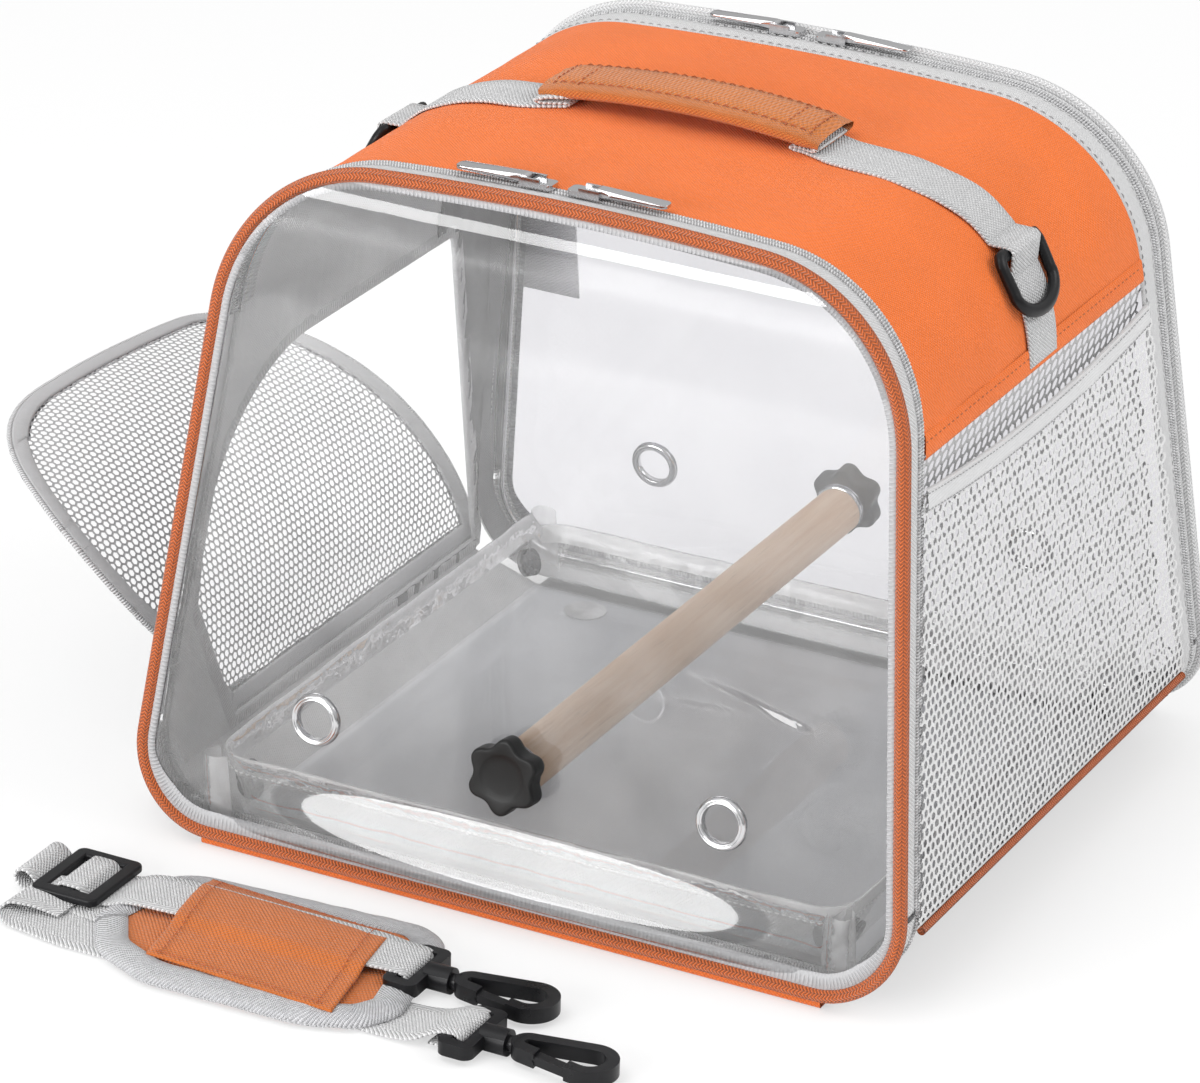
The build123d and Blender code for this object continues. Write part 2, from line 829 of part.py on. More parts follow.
with BuildPart() as tray_snaps:
    for side in (LEFT, RIGHT):
        for end in (FRONT, BACK):
            with BuildSketch(snap_plane(side, end, webbing_gap)):
                Circle(snap_r)
            extrude(amount=snap_cap)
            with BuildSketch(snap_plane(side, end, -snap_sheet - webbing_gap)):
                Circle(snap_r)
            extrude(amount=-snap_cap)
            with BuildSketch(snap_plane(side, end, -snap_sheet - 2 * webbing_gap)):
                Circle(snap_post_r)
            extrude(amount=snap_sheet + 4 * webbing_gap)
finish(tray_snaps, "tray_snaps")

# ---------------------------------------------------------------- handle, webbing and rings

arc_offset = base_width / 2 + frame_lift * side_slope - top_corner_r / cos(side_lean)
crown_mid = roof_top - crown_radius
arc_sum = arc_offset * side_slope + crown_mid
arc_square = 1 + side_slope**2
arc_rest = arc_offset**2 + crown_mid**2 - (crown_radius - top_corner_r) ** 2
corner_z = (arc_sum + (arc_sum**2 - arc_square * arc_rest) ** 0.5) / arc_square
corner_x = arc_offset - corner_z * side_slope
ring_lift = (ring_bar_height - corner_z) / (top_corner_r + ring_stand_off)
bar_x = corner_x + (top_corner_r + ring_stand_off) * (1 - ring_lift**2) ** 0.5
loop_r = ring_bore_r + webbing_sheet
handle_mid = roof_top + handle_rise
handle_end = handle_mid - handle_bow

with BuildPart() as carry_webbing:
    with BuildSketch(Plane.XZ):
        add(body_outline(-webbing_gap - webbing_sheet))
        add(body_outline(-webbing_gap), mode=Mode.SUBTRACT)
        with Locations((0, ring_bar_height + 2 * frame_height)):
            Rectangle(2 * bar_x, 4 * frame_height, mode=Mode.INTERSECT)
        with Locations((0, roof_top)):
            Rectangle(2 * fold_in, 4 * webbing_sheet, mode=Mode.SUBTRACT)
        for side in (LEFT, RIGHT):
            with BuildLine():
                inner_z = roof_z(fold_in) + webbing_gap
                outer_z = roof_z(fold_out) + webbing_gap
                ply = webbing_sheet + webbing_gap
                Polyline(
                    (side * fold_in, inner_z),
                    (side * fold_in, inner_z + 2 * ply - webbing_gap),
                    (side * (fold_out - webbing_sheet), outer_z + 2 * ply - webbing_gap),
                    (side * (fold_out - webbing_sheet), outer_z + 2 * ply),
                    (side * handle_half, handle_end - webbing_sheet / 2),
                    (side * handle_half, handle_end + webbing_sheet / 2),
                    (side * fold_out, outer_z + 2 * ply + webbing_sheet),
                    (side * fold_out, outer_z + ply),
                    (side * (fold_in + webbing_sheet), inner_z + ply),
                    (side * (fold_in + webbing_sheet), inner_z),
                    close=True,
                )
            make_face()
            with Locations((side * bar_x, ring_bar_height)):
                Circle(loop_r)
                Circle(ring_bore_r, mode=Mode.SUBTRACT)
        with BuildLine():
            low = webbing_sheet / 2
            up = webbing_sheet / 2
            ThreePointArc(
                (-handle_half, handle_end - low), (0, handle_mid - low), (handle_half, handle_end - low)
            )
            Line((handle_half, handle_end - low), (handle_half, handle_end + up))
            ThreePointArc(
                (handle_half, handle_end + up), (0, handle_mid + up), (-handle_half, handle_end + up)
            )
            Line((-handle_half, handle_end + up), (-handle_half, handle_end - low))
        make_face()
    extrude(amount=webbing_width / 2, both=True)
finish(carry_webbing, "carry_webbing")

with BuildPart() as handle_sleeve:
    with BuildSketch(Plane.XZ):
        with BuildLine():
            half_out = webbing_sheet / 2 + webbing_gap + handle_sheet
            low_mid = handle_mid - half_out
            low_end = handle_end - half_out
            top_mid = handle_mid + half_out
            top_end = handle_end + half_out
            ThreePointArc((-handle_half, low_end), (0, low_mid), (handle_half, low_end))
            Line((handle_half, low_end), (handle_half, top_end))
            ThreePointArc((handle_half, top_end), (0, top_mid), (-handle_half, top_end))
            Line((-handle_half, top_end), (-handle_half, low_end))
        make_face()
    extrude(amount=handle_width / 2, both=True)
    with BuildSketch(Plane.XZ):
        with BuildLine():
            half_in = webbing_sheet / 2 + webbing_gap
            long = handle_half
            ThreePointArc(
                (-long, handle_end - half_in), (0, handle_mid - half_in), (long, handle_end - half_in)
            )
            Line((long, handle_end - half_in), (long, handle_end + half_in))
            ThreePointArc(
                (long, handle_end + half_in), (0, handle_mid + half_in), (-long, handle_end + half_in)
            )
            Line((-long, handle_end + half_in), (-long, handle_end - half_in))
        make_face()
    extrude(amount=webbing_width / 2 + webbing_gap, both=True, mode=Mode.SUBTRACT)
finish(handle_sleeve, "handle_sleeve")


def ring_plane(side):
    """Plane of a hanging ring: local x along the bar, y down from the bar."""
    drop = Vector(side * cos(radians(ring_hang)), 0, -sin(radians(ring_hang)))
    normal = Vector(0, side, 0).cross(drop)
    return Plane(origin=(side * bar_x, 0, ring_bar_height), x_dir=(0, side, 0), z_dir=normal)


def ring_shape(side):
    """Half-round ring with a straight bar held in the loop of the webbing."""
    with BuildPart(mode=Mode.PRIVATE) as ring:
        with BuildSketch(ring_plane(side).offset(-ring_thick / 2)):
            with Locations((0, ring_drop / 2)):
                RectangleRounded(ring_width, ring_drop + 2 * ring_bar_r, ring_corner_r / 2)
                inner_wide = ring_width - 2 * ring_band
                inner_tall = ring_drop + 2 * ring_bar_r - 2 * ring_band
                Rectangle(inner_wide, inner_tall, mode=Mode.SUBTRACT)
            Rectangle(inner_wide, 3 * ring_bar_r, mode=Mode.SUBTRACT)
        extrude(amount=ring_thick)
        with Locations(Location((side * bar_x, 0, ring_bar_height), (90, 0, 0))):
            Cylinder(ring_bar_r, ring_width - ring_band)
    return ring.part


with BuildPart() as d_ring_left:
    add(ring_shape(LEFT))
finish(d_ring_left, "d_ring_left")

with BuildPart() as d_ring_right:
    add(ring_shape(RIGHT))
finish(d_ring_right, "d_ring_right")

# ---------------------------------------------------------------- side door, standing open

door_mid_sheet = door_clearance + door_sheet / 2
door_bends = [door_first_bend + i * door_next_bend for i in range(door_strips)]


def strip_direction(bend):
    """Direction up a door strip that is bent outward by an angle from the wall."""
    lean = side_lean - radians(bend)
    return Vector(sin(lean), 0, cos(lean))


def strip_hinge(index):
    """Centre of the hinge line at the lower edge of a door strip."""
    wall_up = strip_direction(0)
    wall_out = Vector(-wall_up.Z, 0, wall_up.X)
    point = Vector(-side_x(door_hinge_height), 0, door_hinge_height) + wall_out * door_mid_sheet
    for bend in door_bends[:index]:
        point = point + strip_direction(bend) * door_strip
    return point


def strip_plane(index, out):
    """Plane of a door strip: local x towards the front, y up the strip, z out of the strip."""
    up = strip_direction(door_bends[index])
    outward = Vector(-up.Z, 0, up.X)
    return Plane(origin=strip_hinge(index) + outward * out, x_dir=(0, -1, 0), z_dir=outward)


def strip_shape(index):
    """Door strip, cut from the door's outline."""
    low = door_strip_gap / 2
    high = door_strip - door_strip_gap / 2
    shift = -door_hinge_height / cos(side_lean) - index * door_strip
    if index == door_strips - 1:
        high = door_strip
    with BuildPart(mode=Mode.PRIVATE) as strip:
        with BuildSketch(strip_plane(index, -door_sheet / 2)):
            with Locations((0, shift)):
                add(opening_face(door_overlap))
            with Locations(((opening_front - opening_rear) / 4, (low + high) / 2)):
                Rectangle(2 * frame_spacing, high - low, mode=Mode.INTERSECT)
        extrude(amount=door_sheet)
    return strip.part


with BuildPart() as side_door_panel_1:
    add(strip_shape(0))
finish(side_door_panel_1, "side_door_panel_1")

with BuildPart() as side_door_panel_2:
    add(strip_shape(1))
finish(side_door_panel_2, "side_door_panel_2")

with BuildPart() as side_door_panel_3:
    add(strip_shape(2))
finish(side_door_panel_3, "side_door_panel_3")

with BuildPart() as side_door_panel_4:
    add(strip_shape(3))
finish(side_door_panel_4, "side_door_panel_4")

# ---------------------------------------------------------------- zip sliders and pulls

zip_depths = {
    FRONT: front_door_tape + coil + zip_gap / 2,
    BACK: back_door_tape + coil + zip_gap / 2,
}
slider_mids = {FRONT: front_slider_mid, BACK: back_slider_mid}


def slider_plane(end, side):
    """Plane on the crown of the roof at a slider: local x away from its partner, z up."""
    x = slider_mids[end] + side * slider_apart / 2
    depth = zip_depths[end]
    height = roof_z(x) + coil_proud
    rise = (height - frame_lift) * end_slope
    y = end * (frame_spacing / 2 - rise - depth / cos(end_lean))
    tip = Vector(x, 0, height - roof_top + crown_radius).normalized()
    along = Vector(side * tip.Z, 0, -side * tip.X)
    return Plane(origin=(x, y, height), x_dir=along, z_dir=tip)


def slider_shape(end, side):
    """Slider over the two halves of the coil, with lugs and a pin for its pull."""
    with BuildPart(mode=Mode.PRIVATE) as slider:
        with BuildSketch(slider_plane(end, side).offset(slider_gap)):
            RectangleRounded(slider_long, slider_wide, slider_corner_r)
        extrude(amount=slider_tall)
        lug_y = slider_wide / 2 - slider_lug / 2
        lug_long = pull_knuckle_at + slider_lug
        with BuildSketch(slider_plane(end, side).offset(slider_gap)):
            with Locations((lug_long / 2, -lug_y), (lug_long / 2, lug_y)):
                Rectangle(lug_long, slider_lug)
        extrude(amount=pull_knuckle_up + slider_pin_r)
    pin_plane = slider_plane(end, side)
    pin_at = pin_plane.from_local_coords((pull_knuckle_at, 0, pull_knuckle_up))
    with BuildPart(mode=Mode.PRIVATE) as whole:
        add(slider.part)
        with BuildSketch(Plane(origin=pin_at, x_dir=pin_plane.x_dir, z_dir=pin_plane.y_dir)):
            Circle(slider_pin_r)
        extrude(amount=slider_wide / 2 - slider_lug / 2, both=True)
    return whole.part


def pull_shape(end, side):
    """Flat pull with a knuckle round the slider's pin."""
    base = slider_plane(end, side)
    pin_at = base.from_local_coords((pull_knuckle_at, 0, pull_knuckle_up))
    knuckle_half = slider_wide / 2 - slider_lug - pull_side_gap
    pull_from = pull_knuckle_at + pull_knuckle_r + pull_side_gap + slider_lug
    pull_mid = pull_from + pull_long / 2
    with BuildPart(mode=Mode.PRIVATE) as pull:
        with BuildSketch(base.offset(pull_knuckle_up - pull_sheet / 2)):
            with Locations((pull_mid, 0)):
                RectangleRounded(pull_long, pull_wide, pull_corner_r)
            with Locations((pull_from + pull_long - pull_hole_long / 2 - pull_hole_in, 0)):
                RectangleRounded(pull_hole_long, pull_hole_wide, pull_hole_r, mode=Mode.SUBTRACT)
            with Locations((pull_knuckle_at + pull_knuckle_r + slider_lug, 0)):
                Rectangle(2 * pull_knuckle_r + 2 * slider_lug, 2 * knuckle_half)
        extrude(amount=pull_sheet)
        with BuildSketch(Plane(origin=pin_at, x_dir=base.x_dir, z_dir=base.y_dir)):
            Circle(pull_knuckle_r)
        extrude(amount=knuckle_half, both=True)
        with BuildSketch(Plane(origin=pin_at, x_dir=base.x_dir, z_dir=base.y_dir)):
            Circle(pull_bore_r)
        extrude(amount=slider_wide, both=True, mode=Mode.SUBTRACT)
    return pull.part


with BuildPart() as front_slider_left:
    add(slider_shape(FRONT, LEFT))
finish(front_slider_left, "front_slider_left")

with BuildPart() as front_slider_right:
    add(slider_shape(FRONT, RIGHT))
finish(front_slider_right, "front_slider_right")

with BuildPart() as back_slider_left:
    add(slider_shape(BACK, LEFT))
finish(back_slider_left, "back_slider_left")

with BuildPart() as back_slider_right:
    add(slider_shape(BACK, RIGHT))
finish(back_slider_right, "back_slider_right")

with BuildPart() as front_pull_left:
    add(pull_shape(FRONT, LEFT))
finish(front_pull_left, "front_pull_left")

with BuildPart() as front_pull_right:
    add(pull_shape(FRONT, RIGHT))
finish(front_pull_right, "front_pull_right")

with BuildPart() as back_pull_left:
    add(pull_shape(BACK, LEFT))
finish(back_pull_left, "back_pull_left")

with BuildPart() as back_pull_right:
    add(pull_shape(BACK, RIGHT))
finish(back_pull_right, "back_pull_right")

# Slider of the side door, parked at the lower front end of its chain
with BuildPart() as side_door_zip:
    with BuildSketch(strip_plane(0, door_sheet / 2 + window_seat_gap)):
        with Locations((-opening_foot_front, slider_wide)):
            RectangleRounded(slider_long, slider_wide, slider_corner_r)
    extrude(amount=slider_tall)
    with BuildSketch(strip_plane(0, door_sheet / 2 + window_seat_gap + slider_tall)):
        with Locations((-opening_foot_front - pull_long / 2, slider_wide)):
            RectangleRounded(pull_long, pull_wide, pull_corner_r)
        with Locations((-opening_foot_front - pull_long + pull_hole_long / 2 + pull_hole_in, slider_wide)):
            RectangleRounded(pull_hole_long, pull_hole_wide, pull_hole_r, mode=Mode.SUBTRACT)
    extrude(amount=pull_sheet)
finish(side_door_zip, "side_door_zip")

# ---------------------------------------------------------------- shoulder strap

top_of_pad = pad_height + pad_sheet
upper_low = upper_run_height
upper_high = top_of_pad + sleeve_gap

with BuildPart() as strap_webbing:
    low_mid = (strap_left + low_run_right) / 2
    with Locations((low_mid, low_run_y, strap_floor_gap)):
        Box(low_run_right - strap_left, strap_width, strap_sheet, align=FOOT)
    fold_front = low_run_y - strap_width / 2
    fold_back = upper_run_y + strap_width / 2
    with Locations((strap_left + strap_sheet / 2, (fold_front + fold_back) / 2, strap_floor_gap)):
        fold_tall = upper_low + strap_sheet - strap_floor_gap
        Box(strap_sheet, fold_back - fold_front, fold_tall, align=FOOT)
    with Locations((low_run_right - strap_sheet / 2, low_run_y, strap_floor_gap)):
        Box(strap_sheet, strap_width, hook_axis_height, align=FOOT)
    with BuildSketch(Plane.XZ.offset(-upper_run_y)):
        with BuildLine():
            ramp_to = pad_x - pad_long / 2 - pad_ramp_gap
            ramp_from = ramp_to - pad_ramp
            fall_from = pad_x + sleeve_long / 2
            path = [
                (strap_left, upper_low),
                (ramp_from, upper_low),
                (ramp_to, upper_high),
                (fall_from, upper_high),
                (upper_run_right, upper_high),
            ]
            Polyline(*path, *[(x, z + strap_sheet) for x, z in reversed(path)], close=True)
        make_face()
    extrude(amount=strap_width / 2, both=True)
finish(strap_webbing, "strap_webbing")

with BuildPart() as strap_pad:
    with BuildSketch(Plane.XY.offset(pad_height)):
        with Locations((pad_x, pad_y)):
            RectangleRounded(pad_long, pad_wide, pad_end_r)
        with Locations((first_hook_x, first_hook_y)):
            notch_long = 2 * hook_base_long + 2 * pad_notch
            Rectangle(notch_long, hook_base_wide + 2 * pad_notch, mode=Mode.SUBTRACT)
    extrude(amount=pad_sheet)
finish(strap_pad, "strap_pad")

with BuildPart() as pad_sleeve:
    with Locations((sleeve_x, sleeve_y, upper_high + strap_sheet + sleeve_gap)):
        Box(sleeve_long, sleeve_wide, sleeve_sheet, align=FOOT)
    for side in (FRONT, BACK):
        wall_y = sleeve_y + side * (sleeve_wide - sleeve_sheet) / 2
        with Locations((sleeve_x, wall_y, top_of_pad + webbing_gap)):
            wall_tall = strap_sheet + 2 * sleeve_gap - webbing_gap + sleeve_sheet
            Box(sleeve_long, sleeve_sheet, wall_tall, align=FOOT)
finish(pad_sleeve, "pad_sleeve")

with BuildPart() as tri_glide:
    with BuildSketch(Plane.XY.offset(upper_low + strap_sheet + webbing_gap)):
        with Locations((glide_x, upper_run_y)):
            RectangleRounded(glide_long, glide_wide, glide_corner_r)
            slot_long = (glide_long - 3 * glide_bar) / 2
            slot_at = (slot_long + glide_bar) / 2
            with Locations((-slot_at, 0), (slot_at, 0)):
                Rectangle(slot_long, glide_wide - 2 * glide_bar, mode=Mode.SUBTRACT)
    extrude(amount=glide_sheet)
finish(tri_glide, "tri_glide")

hook_starts = [(first_hook_x, first_hook_y), (second_hook_x, second_hook_y)]


def hook_base(x, y):
    """Webbing bar and barrel that holds a swivelling hook."""
    with BuildPart(mode=Mode.PRIVATE) as base:
        with BuildSketch(Plane.XY.offset(hook_axis_height - hook_base_sheet / 2)):
            with Locations((x - hook_base_long / 2, y)):
                RectangleRounded(hook_base_long, hook_base_wide, hook_base_r)
                slot_wide = hook_base_wide - 2 * hook_base_band
                slot_long = hook_base_long - 2 * hook_base_band
                Rectangle(slot_long, slot_wide, mode=Mode.SUBTRACT)
        extrude(amount=hook_base_sheet)
        barrel = Plane(origin=(x - hook_base_band / 2, y, hook_axis_height), z_dir=(1, 0, 0))
        with BuildSketch(barrel):
            Circle(hook_barrel_r)
        extrude(amount=hook_barrel_long + hook_base_band / 2)
        cavity = hook_barrel_long - hook_wall - hook_cavity
        with BuildSketch(barrel.offset(hook_base_band / 2 + cavity)):
            Circle(hook_head_r + window_seat_gap)
        extrude(amount=hook_cavity, mode=Mode.SUBTRACT)
        with BuildSketch(barrel.offset(hook_base_band / 2 + cavity)):
            Circle(hook_bore_r)
        extrude(amount=hook_barrel_long, mode=Mode.SUBTRACT)
    return base.part


def hook_ring(x, y):
    """Flat drop-shaped loop of the hook, closed, round its own axis."""
    with BuildSketch(Plane.XY, mode=Mode.PRIVATE) as loop:
        with BuildSketch(mode=Mode.PRIVATE) as drop:
            with Locations((x + hook_barrel_long + hook_neck_at, y)):
                Circle(hook_neck_r)
            with Locations((x + hook_barrel_long + hook_tip_at, y)):
                Circle(hook_tip_r)
            make_hull()
        add(drop.sketch)
        with BuildSketch(mode=Mode.PRIVATE) as hollow:
            add(drop.sketch)
            offset(amount=-hook_band, mode=Mode.REPLACE)
        add(hollow.sketch, mode=Mode.SUBTRACT)
    return loop.sketch


def hook_shape(x, y):
    """Swivelling hook with a headed post, an open side for the gate and the gate's pin."""
    start = x + hook_barrel_long
    pin_x = start + gate_from - hook_band / 2
    pin_y = y - gate_side(gate_from - hook_band / 2)
    with BuildPart(mode=Mode.PRIVATE) as hook:
        with BuildSketch(Plane.XY.offset(hook_axis_height - hook_sheet / 2)):
            add(hook_ring(x, y))
            with Locations((start + (gate_from + gate_to) / 2, y - hook_tip_r)):
                Rectangle(gate_to - gate_from, 2 * hook_tip_r - hook_trim, mode=Mode.SUBTRACT)
        extrude(amount=hook_sheet)
        with BuildSketch(Plane.XY.offset(hook_axis_height - gate_sheet / 2 - gate_gap / 2)):
            with Locations((pin_x, pin_y)):
                Circle(hook_band / 2 + gate_gap)
                with Locations((hook_band, 0)):
                    Rectangle(2 * hook_band, hook_band + 2 * gate_gap)
        extrude(amount=gate_sheet + gate_gap, mode=Mode.SUBTRACT)
        with BuildSketch(Plane.XY.offset(hook_axis_height - hook_sheet / 2)):
            with Locations((pin_x, pin_y)):
                Circle(gate_pin_r)
        extrude(amount=hook_sheet)
        post_plane = Plane(origin=(start, y, hook_axis_height), z_dir=(1, 0, 0))
        with BuildSketch(post_plane.offset(-hook_wall - hook_cavity + gate_gap / 2)):
            Circle(hook_post_r)
        extrude(amount=hook_wall + hook_cavity + hook_neck_at - hook_neck_r + hook_post_bite)
        with BuildSketch(post_plane.offset(-hook_wall - hook_cavity + gate_gap / 4)):
            Circle(hook_head_r)
        extrude(amount=hook_head_long)
    return hook.part


def gate_side(along):
    """Distance of the middle of the hook's side bar from its axis."""
    spread = (hook_tip_r - hook_neck_r) / (hook_tip_at - hook_neck_at)
    return (hook_neck_r + (along - hook_neck_at) * spread) / cos(spread) - hook_band / 2


def gate_shape(x, y):
    """Sprung gate across the open side of the hook."""
    start = x + hook_barrel_long
    pin_x = start + gate_from - hook_band / 2
    pin_y = y - gate_side(gate_from - hook_band / 2)
    with BuildPart(mode=Mode.PRIVATE) as gate:
        with BuildSketch(Plane.XY.offset(hook_axis_height - gate_sheet / 2)):
            with BuildSketch(mode=Mode.PRIVATE) as bar:
                add(hook_ring(x, y))
                with Locations((start + (pin_x - start + gate_to - gate_tip_gap) / 2, y - hook_tip_r)):
                    bar_long = gate_to - gate_tip_gap - (pin_x - start)
                    Rectangle(bar_long, 2 * hook_tip_r - hook_trim - 2 * gate_gap, mode=Mode.INTERSECT)
            add(bar.sketch)
            with Locations((pin_x, pin_y)):
                Circle(hook_band / 2)
                Circle(gate_bore_r, mode=Mode.SUBTRACT)
        extrude(amount=gate_sheet)
    return gate.part


with BuildPart() as hook_bases:
    for x, y in hook_starts:
        add(hook_base(x, y))
finish(hook_bases, "hook_bases")

with BuildPart() as hook_1:
    add(hook_shape(*hook_starts[0]))
finish(hook_1, "hook_1")

with BuildPart() as hook_2:
    add(hook_shape(*hook_starts[1]))
finish(hook_2, "hook_2")

with BuildPart() as gate_1:
    add(gate_shape(*hook_starts[0]))
finish(gate_1, "gate_1")

with BuildPart() as gate_2:
    add(gate_shape(*hook_starts[1]))
finish(gate_2, "gate_2")
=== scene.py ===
from math import atan2, cos, hypot, inf, pi, radians, sin, tan

import bmesh
import bpy
import numpy as np
from mathutils import Matrix, Vector, noise


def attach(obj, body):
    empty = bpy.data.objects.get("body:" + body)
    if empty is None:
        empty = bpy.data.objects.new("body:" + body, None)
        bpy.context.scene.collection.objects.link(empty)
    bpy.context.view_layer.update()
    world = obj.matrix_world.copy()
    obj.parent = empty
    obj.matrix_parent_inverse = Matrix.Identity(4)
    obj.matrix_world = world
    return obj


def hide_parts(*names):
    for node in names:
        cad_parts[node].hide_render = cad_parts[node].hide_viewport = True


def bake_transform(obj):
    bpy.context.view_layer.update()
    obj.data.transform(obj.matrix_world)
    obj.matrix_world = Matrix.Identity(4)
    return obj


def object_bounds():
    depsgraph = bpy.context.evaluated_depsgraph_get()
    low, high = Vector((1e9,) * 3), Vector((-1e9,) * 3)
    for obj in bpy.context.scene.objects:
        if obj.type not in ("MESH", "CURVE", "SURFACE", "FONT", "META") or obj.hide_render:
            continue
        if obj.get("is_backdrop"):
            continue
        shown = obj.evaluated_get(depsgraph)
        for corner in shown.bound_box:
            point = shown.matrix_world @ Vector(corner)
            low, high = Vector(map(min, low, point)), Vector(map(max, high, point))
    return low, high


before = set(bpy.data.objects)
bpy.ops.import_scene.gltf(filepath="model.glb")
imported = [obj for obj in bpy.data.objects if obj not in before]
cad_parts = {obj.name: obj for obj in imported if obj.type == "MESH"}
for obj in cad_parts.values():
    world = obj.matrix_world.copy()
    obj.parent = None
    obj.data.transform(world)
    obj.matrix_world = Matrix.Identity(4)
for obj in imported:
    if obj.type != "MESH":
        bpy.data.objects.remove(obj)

cad_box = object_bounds()
MM = 0.001
FRONT, BACK = -1, 1
LEFT, RIGHT = -1, 1

# ------------------------------------------------------------------ driving sizes, millimetres

base_width = 365.0
frame_height = 300.0
lift = 6.5
depth = 333.0
side_lean = radians(6.1)
end_lean = radians(7.86)
bottom_r = 35.0
top_r = 75.0
crown = 8.0
seam_height = 230.0
front_edge = 18.6
back_edge = 25.6
coil_half = 2.2
front_tape = 13.6
back_tape = 6.0
zip_stop = 45.0
perch_height = 67.0
eyelet_x = 95.5
knob_at_stud = 8.0
piping_r = 3.0
net_foot, net_top = 37.0, 230.5

roof_top = lift + frame_height
half_crown = base_width / 2 - (frame_height - crown) * tan(side_lean)
crown_r = (half_crown**2 + crown**2) / (2 * crown)
crown_mid = roof_top - crown_r
perch_up = (perch_height - lift + knob_at_stud * sin(end_lean)) / cos(end_lean)


def side_x(z):
    """Half width of the body at a height."""
    return base_width / 2 - (z - lift) * tan(side_lean)


def corner_centre():
    """Centre of the round that joins a side to the crown."""
    reach = base_width / 2 + lift * tan(side_lean) - top_r / cos(side_lean)
    a = 1 + tan(side_lean) ** 2
    b = reach * tan(side_lean) + crown_mid
    c = reach**2 + crown_mid**2 - (crown_r - top_r) ** 2
    z = (b + (b * b - a * c) ** 0.5) / a
    return reach - z * tan(side_lean), z


corner_x, corner_z = corner_centre()


def arc_points(cx, cz, r, start, end, step):
    """Points and outward normals along an arc."""
    n = max(2, int(abs(end - start) * r / step))
    angles = [start + (end - start) * i / n for i in range(n + 1)]
    return [(cx + r * cos(a), cz + r * sin(a), cos(a), sin(a)) for a in angles]


def outline(step):
    """Points round an end frame from the bottom middle, as x, z, outward normal and run."""
    low_x = base_width / 2 - bottom_r * tan(side_lean) - bottom_r / cos(side_lean)
    half = [(i * step, lift, 0.0, -1.0) for i in range(int(low_x / step))]
    half += arc_points(low_x, lift + bottom_r, bottom_r, -pi / 2, side_lean, step)
    a, b = half[-1], (corner_x + top_r * cos(side_lean), corner_z + top_r * sin(side_lean))
    n = int(hypot(b[0] - a[0], b[1] - a[1]) / step)
    for i in range(1, n):
        t = i / n
        half.append((a[0] + (b[0] - a[0]) * t, a[1] + (b[1] - a[1]) * t, a[2], a[3]))
    turn = atan2(corner_z - crown_mid, corner_x)
    half += arc_points(corner_x, corner_z, top_r, side_lean, turn, step)
    half += arc_points(0, crown_mid, crown_r, turn, pi / 2, step)[1:]
    left = [(-x, z, -nx, nz) for x, z, nx, nz in reversed(half[1:-1])]
    points = half + left
    run, out = 0.0, []
    for i, p in enumerate(points):
        if i:
            run += hypot(p[0] - points[i - 1][0], p[1] - points[i - 1][1])
        out.append((*p, run))
    return out


def end_place(end, x, z, back):
    """Point on a plane that lies behind an end frame by a distance along its normal."""
    y = end * (depth / 2 - (z - lift) * tan(end_lean) - back / cos(end_lean))
    return (x, y, z)


def end_point(end, x, up, out=0.0):
    """Point on an end frame in metres, from x, the distance up the lean and the distance out."""
    y = end * (depth / 2 - up * sin(end_lean) + out * cos(end_lean))
    return Vector((x, y, lift + up * cos(end_lean) + out * sin(end_lean))) * MM


def end_matrix(end, x, up):
    """Frame on an end window: X across to the right of it, Y up the lean, Z outward."""
    z = Vector((0, end * cos(end_lean), sin(end_lean)))
    x_axis = Vector((-end, 0, 0))
    y = z.cross(x_axis)
    matrix = Matrix((x_axis, y, z)).transposed().to_4x4()
    matrix.translation = end_point(end, x, up)
    return matrix


# ------------------------------------------------------------------ mesh helpers


def make(name, verts, faces, mat, body, uv=None, replaces=()):
    """Builds one piece from points in millimetres and lets it ride on a body."""
    mesh = bpy.data.meshes.new(name)
    mesh.from_pydata([tuple(c * MM for c in v) for v in verts], [], faces)
    mesh.materials.append(mat)
    if uv is not None:
        layer = mesh.uv_layers.new(name="UVMap")
        loops = np.empty(len(mesh.loops), np.int32)
        mesh.loops.foreach_get("vertex_index", loops)
        layer.data.foreach_set("uv", (np.array(uv, float)[loops] * MM).ravel())
    mesh.polygons.foreach_set("use_smooth", [True] * len(mesh.polygons))
    mesh.update()
    piece = bpy.data.objects.new(name, mesh)
    bpy.context.scene.collection.objects.link(piece)
    if body:
        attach(piece, body)
    if replaces:
        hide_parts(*replaces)
    return piece


def grid_faces(rows, cols, wrap_rows=False, wrap_cols=False, flip=False):
    """Quads over a grid of points, row by row."""
    faces = []
    for i in range(rows if wrap_rows else rows - 1):
        for j in range(cols if wrap_cols else cols - 1):
            a = i * cols + j
            b = i * cols + (j + 1) % cols
            c = ((i + 1) % rows) * cols + (j + 1) % cols
            d = ((i + 1) % rows) * cols + j
            faces.append((d, c, b, a) if flip else (a, b, c, d))
    return faces


